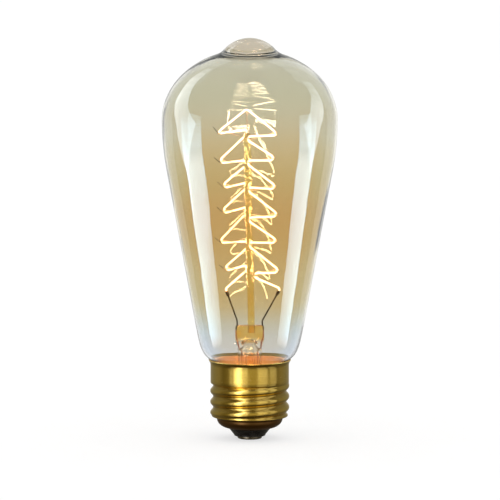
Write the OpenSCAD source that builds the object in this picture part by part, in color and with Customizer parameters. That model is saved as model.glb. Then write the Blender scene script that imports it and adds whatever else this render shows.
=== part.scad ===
// Squirrel-cage style incandescent lamp: pear-cone glass envelope with a pip on top,
// a tree-shaped coiled filament on a glass rod, and a rolled brass screw base.
// Millimetres, +Z up towards the pip. Z = 0 is the face of the end contact, on the lamp's axis.

/* [Screw base] */
// Outer diameter over the crests of the rolled thread
thread_major_d = 26.2; // [25.8:0.1:26.6]
// Depth of the rolled thread, from crest to root
thread_depth = 0.95; // [0.8:0.05:1.1]
// Rise of the thread in one turn
thread_pitch = 3.629; // [3.4:0.001:3.8]
// Length of the threaded stretch
thread_len = 11.3; // [9:0.1:13]
// Sheet thickness of the brass shell
shell_wall = 0.3; // [0.2:0.05:0.35]
// How far the plain collar above the thread lies inside the thread's crests
collar_inset = 0.1; // [0:0.05:0.3]
// Length of the plain collar
collar_len = 5.7; // [4:0.1:7]
// How far the rim at the glass flares out past the collar
rim_flare = 0.65; // [0.4:0.05:0.9]
// Height over which the collar flares out to the rim
rim_len = 1.6; // [1:0.1:2.4]
// How far the shoulder of the turned-in end lies inside the thread's roots
end_inset = 1.25; // [0.9:0.05:1.6]
// Height of the turned-in end
end_h = 3.15; // [2.4:0.05:4]
// Width of the turned-in end, from its shoulder to its mouth
end_lip = 3.7; // [3:0.1:4.5]
// Height of the step between the turned-in end and the thread
end_step_h = 0.85; // [0.6:0.05:1.4]

/* [Contact and insulator] */
// Diameter of the end contact
contact_d = 8.2; // [7:0.1:9]
// Thickness of the end contact's button
contact_h = 0.9; // [0.6:0.1:1.4]
// Outer diameter of the contact's eyelet tube
eyelet_d = 3; // [2.4:0.1:3.6]
// Bore of the eyelet tube
eyelet_bore_d = 1.8; // [1.4:0.1:2]
// Diameter of the solder drop under the contact
contact_solder_d = 4.2; // [3.8:0.1:5]
// Depth of the dish that the solder drop lies in
contact_dish_h = 0.4; // [0.2:0.05:0.5]
// Height of the insulator's cone below the brass shell
cone_h = 2.7; // [2:0.1:3.4]
// Diameter of the insulator's cone at the end contact
cone_tip_d = 9.8; // [9.2:0.1:11]
// Diameter of the solder drop on the shell's rim
shell_solder_d = 2.2; // [1.6:0.1:2.8]

/* [Glass envelope] */
// Overall height of the lamp, from the end contact to the pip
lamp_h = 133.1; // [125:0.1:140]
// Largest diameter of the glass
bulb_d = 58; // [52:0.5:62]
// Height of the largest diameter above the brass rim
belly_h = 79.8; // [75:0.1:84]
// Height of the pip above the dome
pip_h = 3.7; // [2.5:0.1:4.5]
// Radius of the long curve between the taper and the largest diameter
belly_arc_r = 90; // [70:1:110]
// Radius of the shoulder that turns in to the base
shoulder_r = 8; // [7:0.5:10]
// Angle through which the shoulder has turned in where it meets the brass rim
seat_turn = 59; // [50:0.5:65]
// Diameter of the pip at its foot
pip_d = 18.8; // [16:0.1:20]
// Thickness of the blown glass wall
glass_wall = 0.8; // [0.5:0.1:1.2]
// Room between the neck and the brass shell at the thread's roots
neck_gap = 0.45; // [0.35:0.05:0.6]
// Length of the neck below the brass rim
neck_len = 12.2; // [10:0.1:14]
// Gap between the glass and the brass rim
rim_gap = 0.35; // [0.3:0.05:0.5]

/* [Glass stem] */
// Outer diameter of the stem tube
stem_d = 8.1; // [7.6:0.1:9]
// Thickness of the stem's glass
stem_wall = 0.8; // [0.6:0.1:1]
// Height of the trumpet where the stem flares out to the neck
flare_h = 6.5; // [5:0.1:8]
// Height of the press's top above the brass rim
press_top_h = 11.6; // [10:0.1:14]
// Height of the flat press
press_h = 4.6; // [4:0.1:6]
// Height over which the round stem is squeezed into the press
squeeze_h = 3.6; // [3:0.1:4.5]
// Width of the press
press_w = 9.7; // [9.5:0.1:11]
// Thickness of the press
press_t = 4.4; // [3.8:0.1:5]
// Outer diameter of the exhaust tube
exhaust_d = 3.2; // [2.6:0.1:3.4]
// Thickness of the exhaust tube's glass
exhaust_wall = 0.6; // [0.5:0.1:0.8]
// Length of the sealed exhaust tube below the neck's end
exhaust_drop = 3.6; // [2:0.1:5]
// Diameter of the glass rod that carries the filament
rod_d = 2.3; // [1.8:0.1:2.8]
// Length of the rod above the press
rod_len = 64; // [62:0.5:68]
// Depth of the rod in the press
rod_root = 2.4; // [1.5:0.1:3]
// Sideways place of the rod's foot
rod_foot_x = 0.5; // [-0.6:0.1:0.6]
// Lean of the rod, and of all that it carries, to the left
rod_lean = 1.2; // [0:0.1:2]

/* [Filament] */
// Tiers of the filament
tiers = 6; // [3:1:6]
// Drop from the rod's top to the top tier
top_tier_drop = 0.4; // [0.2:0.1:2]
// Drop from one tier to the next
tier_pitch = 9.15; // [8:0.05:9.4]
// How far each hand-wound left tip sits above an even spacing
tier_uneven = [0.2, -0.5, 0, 0.7, 0.6, -0.2]; // [-1:0.1:1]
// How far each right tip sits above an even spacing
right_uneven = [-0.7, 0, -0.3, -0.1, 0.1, -0.5]; // [-1:0.1:1]
// How much more than the others each back tip rises above its left tip
back_uneven = [-0.2, -0.5, 1.1, 1.5, -1.3, 1.5]; // [-1.6:0.1:1.6]
// How much more than the others each front tip rises above its right tip
front_uneven = [-0.4, 0.3, 0.9, -0.3, 0.5, 0]; // [-1.6:0.1:1.6]
// Reach of the side tips from the rod's axis
tip_reach = 9.7; // [8.5:0.1:10.5]
// Reach of the front and back tips from the rod's axis
cross_reach = 6; // [5:0.1:8]
// How far the corner of a front or back tip lies past the rod's axis
cross_over = 1.8; // [1:0.1:2.4]
// Rise of the front and back tips above the side tips of their tier
cross_rise = 0.9; // [0:0.1:1.5]
// Height of the filament's peak above the top tier
peak_h = 8.2; // [7:0.1:9]
// Outer diameter of the coiled filament
filament_d = 0.7; // [0.5:0.05:0.8]
// Radius of the filament's bends, at its centre
bend_r = 0.9; // [0.85:0.05:1.1]

/* [Wires] */
// Diameter of the support wires
support_d = 0.25; // [0.2:0.05:0.3]
// Length of a left support wire past its filament tip
left_tail = 3.4; // [1.5:0.1:4]
// Length of the other support wires past their filament tips
short_tail = 1.5; // [1:0.1:2]
// Diameter of the lead wires inside the glass
lead_d = 0.5; // [0.4:0.05:0.6]
// Distance of the lead wires from the press's edge where they leave it
lead_edge = 0.65; // [0.5:0.05:0.9]
// Height of the kink in the lead wires above the press
lead_kink_h = 1.6; // [1:0.1:3]
// Reach of the lead wires' tops, on average over both sides
lead_reach = 9.1; // [8.5:0.1:9.6]
// How far both lead wires' tops are bent over to the right
lead_shift = 0.8; // [0:0.1:1]
// Drop from the lowest tips to the lead wires' tops
lead_drop = 5.3; // [4.5:0.1:7]
// Length of the clamp folded from the top of each lead wire
clamp_len = 2; // [1.6:0.1:2.4]
// Thickness of the clamp's metal round the filament
clamp_wall = 0.25; // [0.2:0.05:0.35]
// Diameter of the seal wires in the press
seal_wire_d = 0.4; // [0.3:0.05:0.45]
// Diameter of the flexible wires in the base
base_wire_d = 0.2; // [0.16:0.02:0.2]
// Distance of the wires from the stem's wall, inside it
stem_wire_gap = 0.6; // [0.4:0.05:0.8]

/* [Hidden] */
// Air between parts that are fused, cemented or soldered together
fit = 0.05;
// Room between the brass shell and what lies inside it
shell_fit = 0.1;
// How far the squeezed part of the stem reaches up into the press
press_lap = 0.3;
// Room between the trumpet's edge and the inside of the neck
flare_room = 0.3;
// Depth in the press at which a lead wire is welded to its seal wire
weld_depth = 1.6;
// Height above the squeezed part at which the seal wires bend
seal_bend_h = 0.6;
// How far below the squeezed part the seal wires leave the glass, and where they end
seal_exit = 0.4;
seal_end = 2;
// How far a support wire's kink lies before the filament's bend
support_kink = 1.3;
// How far a support wire turns across the bend and upwards, for one unit outwards
support_turn = 0.5;
support_rise = 0.3;
// How far below its kink a support wire leaves the rod
support_step = 1.2;
// Distance of a clamp's open end from the filament's corner, and the clamp's closed length
clamp_start = 0.8;
clamp_bottom = 0.4;
// Half the height of the bend in a lead wire's kink, and how far it turns outwards there
lead_bend_h = 0.4;
lead_bend_x = 0.05;
// Height of the cement's lower edge above the thread
cement_step = 0.2;
// How far the eyelet stands out of the insulator, inside the shell
eyelet_over = 0.5;
// Bevel at the tip of the insulator's cone
cone_bevel = 0.3;
// Depth of the solder drop's middle below the top of the rim
rim_solder_drop = 0.9;
// Corners round the shell and rows in one turn of its thread
shell_n = 40;
rows_per_turn = 7;
// Height on the right side where a thread crest lies, above the thread's start
thread_phase = 2.9;
// How full the thread's crests are; 2 makes crests and roots alike
crest_power = 2.8;
// How far the ellipse of the turned-in end would reach past its mouth
end_round_spare = 0.8;
// How far a bend of the filament cuts its corner short
bend_cut = 1.2;
// Sides of a wire and of the filament, and points in a bend of the filament
wire_sides = 6;
bend_points = 4;

// Heights of the base, from the end contact upwards
mouth_z = contact_h + cone_h;
end_top_z = mouth_z + end_h;
thread_z0 = end_top_z + end_step_h;
thread_z1 = thread_z0 + thread_len;
collar_z1 = thread_z1 + collar_len;
rim_z = collar_z1 + rim_len;

// Diameters of the base, from the thread's crests inwards and outwards
thread_minor_d = thread_major_d - 2 * thread_depth;
collar_d = thread_major_d - 2 * collar_inset;
rim_d = collar_d + 2 * rim_flare;
end_d = thread_minor_d - 2 * end_inset;
end_mouth_d = end_d - 2 * end_lip;

// Heights of the glass
belly_z = rim_z + belly_h;
dome_h = lamp_h - belly_z - pip_h;
neck_z = rim_z - neck_len;
press_z = rim_z + press_top_h;
block_z = press_z - press_h;
squeeze_z = block_z - squeeze_h;
flare_top_z = neck_z + flare_h;

// Places inside the base, the stem and the press, measured from the axis
neck_d = thread_minor_d - 2 * (shell_wall + neck_gap);
seat_r = rim_d / 2 - shell_wall - rim_gap;
stem_wire_x = stem_d / 2 - stem_wall - stem_wire_gap;
lead_exit = press_w / 2 - lead_edge;

function unit(v) = v / norm(v);
function ease(t) = let (c = min(1, max(0, t))) c * c * (3 - 2 * c);

// The envelope's outline

// Height of the dome at radius r, with the wall's thickness w taken off
function dome_z(r, w) = belly_z + (dome_h - w) * sqrt(1 - pow(r / (bulb_d / 2 - w), 2));

// Centre of the shoulder's arc, which passes the brass rim
shoulder_cr = seat_r - shoulder_r * cos(seat_turn);
shoulder_cz = rim_z + shoulder_r * sin(seat_turn);

// The straight taper is the line that touches the shoulder's arc and the belly's
belly_cr = bulb_d / 2 - belly_arc_r;
taper_angle = acos((shoulder_r - belly_arc_r) / norm([belly_cr - shoulder_cr, belly_z - shoulder_cz]))
    - atan2(belly_z - shoulder_cz, belly_cr - shoulder_cr);
echo(taper_angle = taper_angle);

// Angle through which the shoulder turns until it meets the neck, w inside the outer surface
function neck_turn(w) = acos((neck_d / 2 - w - shoulder_cr) / (shoulder_r - w));

// Outer radius of the glass at a height z near the brass rim
function glass_r(z) =
    z < shoulder_cz - shoulder_r * sin(neck_turn(0)) ? neck_d / 2 :
    shoulder_cr + sqrt(shoulder_r * shoulder_r - pow(shoulder_cz - z, 2));

// One surface of the envelope from the pip to the neck's end, w inside the outer one
function envelope_line(w) =
    let (foot = pip_d / 2 - w,
         foot_z = dome_z(foot, w),
         pip_top = lamp_h - 1.4 * w,
         rise = pip_top - foot_z,
         cap_r = (rise * rise + foot * foot) / (2 * rise),
         cap_a = asin(foot / cap_r),
         dome_a = acos(foot / (bulb_d / 2 - w)),
         turn_a = neck_turn(w))
    concat(
        [for (i = [0:6]) let (a = cap_a * i / 6)
            [cap_r * sin(a), pip_top - cap_r * (1 - cos(a))]],
        [for (i = [1:16]) let (a = dome_a * (1 - i / 16))
            [(bulb_d / 2 - w) * cos(a), belly_z + (dome_h - w) * sin(a)]],
        [for (i = [1:5]) let (a = taper_angle * i / 5)
            [belly_cr + (belly_arc_r - w) * cos(a), belly_z - (belly_arc_r - w) * sin(a)]],
        [for (i = [0:9]) let (a = taper_angle + (turn_a - taper_angle) * i / 9)
            [shoulder_cr + (shoulder_r - w) * cos(a), shoulder_cz - (shoulder_r - w) * sin(a)]],
        [[neck_d / 2 - w, neck_z]]
    );

module glass_envelope() {
    outer = envelope_line(0);
    inner = envelope_line(glass_wall);
    color("Wheat", 0.35)
        rotate_extrude($fn = 96)
            polygon(concat(outer, [for (i = [len(inner) - 1:-1:0]) inner[i]]));
}

// The stem: flare, press, exhaust tube and rod

// One side of the trumpet, w outside the upper one
function flare_line(w) =
    let (edge = neck_d / 2 - glass_wall - flare_room)
    [for (i = [0:8]) let (a = 90 * i / 8)
        [edge - (edge - stem_d / 2 + w) * cos(a), flare_top_z - (flare_h + w) * sin(a)]];

module stem_flare() {
    under = flare_line(stem_wall);
    color("LightGoldenrodYellow", 0.6)
        rotate_extrude($fn = 72)
            polygon(concat(
                [[stem_d / 2, squeeze_z - fit]],
                flare_line(0),
                [[neck_d / 2, neck_z - fit], [neck_d / 2, neck_z - stem_wall]],
                [for (i = [len(under) - 1:-1:0]) under[i]],
                [[stem_d / 2 - stem_wall, squeeze_z - fit]]
            ));
}

// The press seen from above, drawn in by inset
module press_outline(inset = 0) {
    square([press_w - press_t, press_t - 2 * inset], center = true);
    for (s = [-1, 1])
        translate([s * (press_w - press_t) / 2, 0])
            circle(d = press_t - 2 * inset, $fn = 32);
}

// A round bar of diameter d between two points, also used for the bores of the seal wires
module bar(p, q, d) {
    v = q - p;
    translate(p)
        rotate([0, acos(v[2] / norm(v)), atan2(v[1], v[0])])
            cylinder(h = norm(v), d = d, $fn = 24);
}

module stem_press() {
    bore_d = max(lead_d, seal_wire_d) + 2 * fit;
    color("Goldenrod", 0.7)
        difference() {
            union() {
                translate([0, 0, block_z])
                    linear_extrude(press_h) press_outline();
                hull() {
                    translate([0, 0, block_z + press_lap])
                        linear_extrude(0.01) press_outline(fit);
                    translate([0, 0, squeeze_z])
                        cylinder(h = 0.01, d = stem_d, $fn = 32);
                }
            }
            translate([0, 0, squeeze_z - fit])
                cylinder(h = squeeze_h / 2 + fit, d1 = stem_d - 2 * stem_wall,
                         d2 = exhaust_d + 2 * fit, $fn = 48);
            for (s = [-1, 1]) {
                bar([s * lead_exit, 0, wire_bend_z - 0.3], [s * lead_exit, 0, press_z + 1], bore_d);
                bar([s * stem_wire_x, 0, squeeze_z - seal_exit],
                    [s * lead_exit, 0, wire_bend_z], bore_d);
            }
            leaned()
                translate([0, 0, press_z - rod_root - fit])
                    cylinder(h = rod_root + 1, d = rod_d + 2 * fit, $fn = 48);
        }
}

module exhaust_tube() {
    top = squeeze_z + squeeze_h / 2 - fit;
    tip = neck_z - exhaust_drop;
    color("LightGoldenrodYellow", 0.6)
        rotate_extrude($fn = 48)
            polygon(concat(
                [for (i = [0:5]) let (a = 90 * i / 5)
                    [exhaust_d / 2 * sin(a), tip + exhaust_d / 2 * (1 - cos(a))]],
                [[exhaust_d / 2, top], [exhaust_d / 2 - exhaust_wall, top]],
                [[exhaust_d / 2 - exhaust_wall, tip + exhaust_d], [0, tip + 0.7 * exhaust_d]]
            ));
}

// Everything that the rod carries leans with it about the middle of the press's top
module leaned() {
    translate([rod_foot_x, 0, press_z])
        rotate([0, -rod_lean, 0])
            translate([0, 0, -press_z])
                children();
}

function leaned_point(p) =
    let (h = p[2] - press_z)
    [rod_foot_x + p[0] * cos(rod_lean) - h * sin(rod_lean),
     p[1],
     press_z + h * cos(rod_lean) + p[0] * sin(rod_lean)];

// The place on the upright rod that leans to p
function unleaned_point(p) =
    let (x = p[0] - rod_foot_x, h = p[2] - press_z)
    [x * cos(rod_lean) + h * sin(rod_lean), p[1], press_z + h * cos(rod_lean) - x * sin(rod_lean)];

module centre_rod() {
    color("Khaki", 0.7)
        leaned() {
            translate([0, 0, press_z - rod_root])
                cylinder(h = rod_root + rod_len - rod_d / 4, d = rod_d, $fn = 48);
            translate([0, 0, press_z + rod_len - rod_d / 4])
                cylinder(h = rod_d / 4, d1 = rod_d, d2 = rod_d / 2, $fn = 48);
        }
}

// The filament's route: two zigzags that meet at the peak, the left one by the back tips
// and the right one by the front tips

top_tier_z = press_z + rod_len - top_tier_drop;
function tip_z(s, k) = top_tier_z - k * tier_pitch + (s < 0 ? tier_uneven[k] : right_uneven[k]);
function tip_rise(s, k) = cross_rise + (s < 0 ? back_uneven[k] : front_uneven[k]);

// The corner of a side tip (s = -1 left, 1 right) and of the cross tip of the same run
function side_tip(s, k) = [s * (tip_reach + corner_spare), 0, tip_z(s, k)];
function cross_tip(s, k) =
    [-s * cross_over, -s * (cross_reach + corner_spare), tip_z(s, k) + tip_rise(s, k)];

// The corner over a lead wire, and the filament's end in that lead's clamp
function lead_tip(s) = [s * lead_reach + lead_shift, 0, tip_z(s, tiers - 1) - lead_drop];
function lead_down(s) = unit(unleaned_point(lead_kink(s)) - lead_tip(s));
function filament_end(s) = lead_tip(s) + (clamp_start + clamp_len - clamp_bottom - fit) * lead_down(s);

// How far a corner stands outside the round bend that it becomes
corner_spare = bend_cut - filament_d / 2;
peak = [0, 0, top_tier_z + peak_h];

function run(s) = [for (k = [0:tiers - 1]) each [side_tip(s, k), cross_tip(s, k)]];
function reversed(list) = [for (i = [len(list) - 1:-1:0]) list[i]];

corners = concat(
    [filament_end(-1), lead_tip(-1)], reversed(run(-1)),
    [peak],
    run(1), [lead_tip(1), filament_end(1)]
);

// Centre of the round bend at corner b between its neighbours a and c
function bend_centre(a, b, c) =
    let (u = unit(a - b), v = unit(c - b), half = acos(u * v) / 2)
    b + unit(u + v) * bend_r / sin(half);

function bend_path(a, b, c) =
    let (u = unit(a - b), v = unit(c - b), half = acos(u * v) / 2,
         m = bend_centre(a, b, c),
         p = unit(b + u * bend_r / tan(half) - m),
         q = unit(b + v * bend_r / tan(half) - m),
         sweep = 180 - 2 * half)
    [for (i = [0:bend_points]) let (t = i / bend_points)
        m + bend_r * (p * sin(sweep * (1 - t)) + q * sin(sweep * t)) / sin(sweep)];

filament_path = concat(
    [corners[0]],
    [for (i = [1:len(corners) - 2]) each bend_path(corners[i - 1], corners[i], corners[i + 1])],
    [corners[len(corners) - 1]]
);

// Least air between two turns of the filament, measured on the points of its route
function least_gap(path, d) =
    min([for (i = [0:len(path) - 2], j = [i + 2 * bend_points:1:len(path) - 1])
        norm(path[i] - path[j])]) - d;
echo(filament_least_gap = least_gap(filament_path, filament_d));

// A tube of d through a list of points, closed at both ends

function tangent(p, i) =
    let (a = i > 0 ? unit(p[i] - p[i - 1]) : unit(p[1] - p[0]),
         b = i < len(p) - 1 ? unit(p[i + 1] - p[i]) : a)
    unit(a + b);
function across(n, t) = unit(n - (n * t) * t);
function any_across(t) = across(abs(t[2]) < 0.9 ? [0, 0, 1] : [1, 0, 0], t);
function frames(p) =
    [for (i = 0, n = any_across(tangent(p, 0)); i < len(p);
          i = i + 1, n = i < len(p) ? across(n, tangent(p, i)) : n)
        [n, cross(tangent(p, i), n)]];

module tube(path, d, sides = wire_sides) {
    f = frames(path);
    n = len(path);
    points = [for (i = [0:n - 1], j = [0:sides - 1])
        path[i] + d / 2 * (cos(360 * j / sides) * f[i][0] + sin(360 * j / sides) * f[i][1])];
    walls = [for (i = [0:n - 2], j = [0:sides - 1])
        let (a = i * sides + j, b = i * sides + (j + 1) % sides)
        each [[a, a + sides, b], [b, a + sides, b + sides]]];
    ends = [for (j = [1:sides - 2])
        each [[0, j, j + 1], [(n - 1) * sides, (n - 1) * sides + j + 1, (n - 1) * sides + j]]];
    polyhedron(points, concat(walls, ends));
}

module filament() {
    color("LightYellow")
        leaned() tube(filament_path, filament_d);
}

// Support wires: each leaves the rod, kinks, and passes through the bend that it holds

function bend_normal(a, b, c, out) =
    let (n = unit(cross(a - b, c - b)))
    n * out < 0 ? -n : n;

module support(a, b, c, out, tail) {
    m = bend_centre(a, b, c);
    d = unit(out + support_turn * bend_normal(a, b, c, out) + [0, 0, support_rise]);
    kink = m - support_kink * d;
    foot = (rod_d / 2 + fit) * out + [0, 0, kink[2] - support_step];
    tube([foot, foot + 0.3 * out, kink, m + tail * d], support_d);
}

function corner_before(s, k) = k == 0 ? peak : cross_tip(s, k - 1);
function corner_after(s, k) = k == tiers - 1 ? lead_tip(s) : side_tip(s, k + 1);

module supports_tier(k) {
    if (k < tiers)
        color("DimGray")
            leaned()
                for (s = [-1, 1]) {
                    support(corner_before(s, k), side_tip(s, k), cross_tip(s, k),
                            [s, 0, 0], s < 0 ? left_tail : short_tail);
                    support(side_tip(s, k), cross_tip(s, k), corner_after(s, k),
                            [0, -s, 0], short_tail);
                }
}

module peak_hook() {
    m = bend_centre(side_tip(-1, 0), peak, side_tip(1, 0));
    side = -filament_d / 2 - support_d - 0.3;
    rod_top = press_z + rod_len;
    color("DimGray")
        leaned()
            tube([[0, 0, rod_top + fit], [0, 0, rod_top + 0.4],
                  [0, side, rod_top + 1.6], [0, side, m[2] - 0.4], [0, side + 0.3, m[2]],
                  [0, 0.9, m[2] + 0.1], [0, 1.2, m[2] + 0.5]], support_d);
}

// Wires from the filament's ends down to the base

wire_bend_z = block_z + seal_bend_h;
weld_z = press_z - weld_depth;

// The upper end of the kink where a lead wire bends outwards
function lead_kink(s) = [s * (lead_exit + lead_bend_x), 0, press_z + lead_kink_h + lead_bend_h];

// The lead's upper end is folded round the filament's end: a short tube, closed below
module lead(s) {
    tip = leaned_point(lead_tip(s));
    down = unit(lead_kink(s) - tip);
    top = tip + clamp_start * down;
    bottom = top + clamp_len * down;
    bore = filament_d + 2 * fit;
    color("SaddleBrown") {
        difference() {
            bar(bottom, top, bore + 2 * clamp_wall);
            bar(bottom - clamp_bottom * down, top - down, bore);
        }
        tube([[s * lead_exit, 0, weld_z + fit],
              [s * lead_exit, 0, press_z + lead_kink_h - lead_bend_h],
              lead_kink(s), bottom - clamp_bottom / 2 * down], lead_d);
    }
}

module lead_left() lead(-1);
module lead_right() lead(1);

module seal_wire(s) {
    color("Peru")
        tube([[s * lead_exit, 0, weld_z], [s * lead_exit, 0, wire_bend_z],
              [s * stem_wire_x, 0, squeeze_z - seal_exit],
              [s * stem_wire_x, 0, squeeze_z - seal_end]],
             seal_wire_d);
}

module seal_wire_left() seal_wire(-1);
module seal_wire_right() seal_wire(1);

shell_lead_r = neck_d / 2 + base_wire_d / 2 + fit;
shell_lead_path = [
    [stem_wire_x, 0, squeeze_z - seal_end - fit],
    [stem_wire_x, 0, neck_z - stem_wall],
    [stem_wire_x * 0.8, 3, neck_z - stem_wall - 1],
    [0, shell_lead_r, neck_z - stem_wall - 1],
    [0, shell_lead_r, collar_z1],
    [0, (glass_r(rim_z - rim_len / 3) + shell_r(rim_z - rim_len / 3, 90) - shell_wall) / 2,
     rim_z - rim_len / 3],
    [0, seat_r + rim_gap / 2, rim_z],
    [0, rim_d / 2, rim_z + base_wire_d / 2 + fit]
];

module shell_lead() {
    color("Peru") tube(shell_lead_path, base_wire_d);
}

module contact_lead() {
    color("Peru")
        tube([[-stem_wire_x, 0, squeeze_z - seal_end - fit],
              [-stem_wire_x, 0, neck_z - exhaust_drop],
              [0, 0, end_top_z + eyelet_over + 0.1], [0, 0, contact_dish_h + fit]], base_wire_d);
}

// The base: cement, shell, insulator, contact and solder

module basing_cement() {
    color("Sienna")
        difference() {
            rotate_extrude($fn = 72)
                polygon([
                    [neck_d / 2 + fit, thread_z1 + cement_step],
                    [collar_d / 2 - shell_wall - shell_fit, thread_z1 + cement_step],
                    [collar_d / 2 - shell_wall - shell_fit, collar_z1],
                    [neck_d / 2 + fit, collar_z1]
                ]);
            translate([0, shell_lead_r, thread_z1])
                cylinder(h = collar_len + 1, d = base_wire_d + 2 * fit, $fn = 24);
        }
}

// Outer radius of the shell at height z and angle a; the thread is right-handed and
// fades into the collar above and into the step below
thread_mid_r = (thread_major_d - thread_depth) / 2;
function thread_weight(z) =
    ease((z - thread_z0) / (thread_pitch / 4)) * ease((thread_z1 - z) / (thread_pitch / 4));
function shell_r(z, a) =
    z > collar_z1 ? collar_d / 2 + (rim_d - collar_d) / 2 * pow((z - collar_z1) / rim_len, 2) :
    z >= thread_z1 ? collar_d / 2 :
    z > thread_z0 ?
        let (w = thread_weight(z),
             plain = z > (thread_z0 + thread_z1) / 2 ? collar_d / 2 : thread_mid_r,
             turn = 360 * (z - thread_z0 - thread_phase) / thread_pitch - a,
             wave = 1 - 2 * pow(abs(sin(turn / 2)), crest_power))
        plain * (1 - w) + (thread_mid_r + thread_depth / 2 * wave) * w :
    end_d / 2 + (thread_mid_r - end_d / 2) * ease((z - end_top_z) / end_step_h);

// The turned-in end is a quarter of an ellipse that stops at the mouth
end_round_w = end_lip + end_round_spare;
function end_line(w) =
    let (rx = end_round_w - w,
         stop = acos((end_mouth_d / 2 - (end_d / 2 - end_round_w)) / rx),
         rz = (end_h - w) / sin(stop))
    [for (i = [1:5]) let (a = stop * i / 5)
        [end_d / 2 - end_round_w + rx * cos(a), end_top_z - rz * sin(a)]];

thread_rows = ceil(thread_len / thread_pitch * rows_per_turn);
row_heights = concat(
    [for (i = [0:3]) rim_z - rim_len * i / 3],
    [for (i = [0:thread_rows]) thread_z1 - thread_len * i / thread_rows],
    [for (i = [1:3]) thread_z0 - end_step_h * i / 3]
);

// One skin of the shell, w inside the outer one, as rows of points from the rim to the mouth
function shell_skin(w) = concat(
    [for (z = row_heights, j = [0:shell_n - 1]) let (a = 360 * j / shell_n)
        [(shell_r(z, a) - w) * cos(a), (shell_r(z, a) - w) * sin(a), z]],
    [for (p = end_line(w), j = [0:shell_n - 1]) let (a = 360 * j / shell_n)
        [p[0] * cos(a), p[0] * sin(a), p[1]]]
);

module screw_shell() {
    outer = shell_skin(0);
    inner = shell_skin(shell_wall);
    rows = len(outer) / shell_n;
    half = len(outer);
    skin = [for (i = [0:rows - 2], j = [0:shell_n - 1])
        let (a = i * shell_n + j, b = i * shell_n + (j + 1) % shell_n)
        each [[a, b, a + shell_n], [b, b + shell_n, a + shell_n],
              [half + a, half + a + shell_n, half + b],
              [half + b, half + a + shell_n, half + b + shell_n]]];
    edges = [for (j = [0:shell_n - 1])
        let (k = (j + 1) % shell_n, m = (rows - 1) * shell_n)
        each [[j, half + j, k], [k, half + j, half + k],
              [m + j, m + k, half + m + j], [m + k, half + m + k, half + m + j]]];
    color("Goldenrod")
        polyhedron(concat(outer, inner), concat(skin, edges));
}

module insulator() {
    inside = end_line(shell_wall + shell_fit);
    color("#1c1a18")
        rotate_extrude($fn = 72)
            polygon(concat(
                [[eyelet_d / 2 + fit, end_top_z],
                 [end_d / 2 - shell_wall - shell_fit, end_top_z]],
                [for (i = [0:3]) inside[i]],
                [[end_mouth_d / 2 - shell_fit, mouth_z + shell_wall + shell_fit],
                 [end_mouth_d / 2 - shell_fit, mouth_z],
                 [cone_tip_d / 2 + cone_bevel, contact_h + fit + cone_bevel],
                 [cone_tip_d / 2, contact_h + fit],
                 [eyelet_d / 2 + fit, contact_h + fit]]
            ));
}

module end_contact() {
    round_r = contact_h * 0.6;
    color("DimGray")
        rotate_extrude($fn = 72)
            polygon(concat(
                [[contact_solder_d / 2 + fit, 0]],
                [for (i = [0:4]) let (a = 90 * i / 4)
                    [contact_d / 2 - round_r + round_r * sin(a), round_r * (1 - cos(a))]],
                [[contact_d / 2, contact_h],
                 [eyelet_d / 2, contact_h],
                 [eyelet_d / 2, end_top_z + eyelet_over],
                 [eyelet_bore_d / 2, end_top_z + eyelet_over],
                 [eyelet_bore_d / 2, contact_dish_h + fit],
                 [contact_solder_d / 2 + fit, contact_dish_h + fit]]
            ));
}

module contact_solder() {
    color("Silver")
        rotate_extrude($fn = 48)
            polygon([
                [0, 0], [contact_solder_d / 2 - 0.5, 0],
                [contact_solder_d / 2, contact_dish_h / 2],
                [contact_solder_d / 2, contact_dish_h], [0, contact_dish_h]
            ]);
}

// A flattened drop on the outside of the rim, at the back, over the end of the shell's wire
module shell_solder() {
    color("Silver")
        difference() {
            translate([0, rim_d / 2, rim_z - rim_solder_drop])
                sphere(d = shell_solder_d, $fn = 32);
            translate([0, 0, mouth_z])
                rotate_extrude($fn = 96)
                    polygon([
                        [0, 0], [collar_d / 2 + fit, 0], [collar_d / 2 + fit, collar_z1 - mouth_z],
                        [rim_d / 2 + fit, rim_z - mouth_z], [rim_d / 2 + fit, rim_z],
                        [0, rim_z]
                    ]);
        }
}

glass_envelope();
stem_flare();
stem_press();
exhaust_tube();
centre_rod();
peak_hook();
supports_tier(0);  // supports_tier_1
supports_tier(1);  // supports_tier_2
supports_tier(2);  // supports_tier_3
supports_tier(3);  // supports_tier_4
supports_tier(4);  // supports_tier_5
supports_tier(5);  // supports_tier_6
filament();
lead_left();
lead_right();
seal_wire_left();
seal_wire_right();
shell_lead();
contact_lead();
basing_cement();
screw_shell();
insulator();
end_contact();
contact_solder();
shell_solder();
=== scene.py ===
# %% [markdown]
# # A clear filament lamp in the old style
# The lamp is a blown glass envelope with a pip on top, a tree of coiled wire that glows on a glass
# rod, and a rolled brass screw base. Nothing on it moves, so every piece rides on the one body,
# root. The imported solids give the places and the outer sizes, and this script makes each piece
# again with the detail that shows: a real coil, round wires with hooks, glass with an inner and
# an outer wall, and a thread with many more rows.

# %% Load the frame
from math import acos, asin, atan2, ceil, cos, pi, radians, sin, sqrt, tan

import bmesh
import bpy
from mathutils import Matrix, Vector


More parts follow.
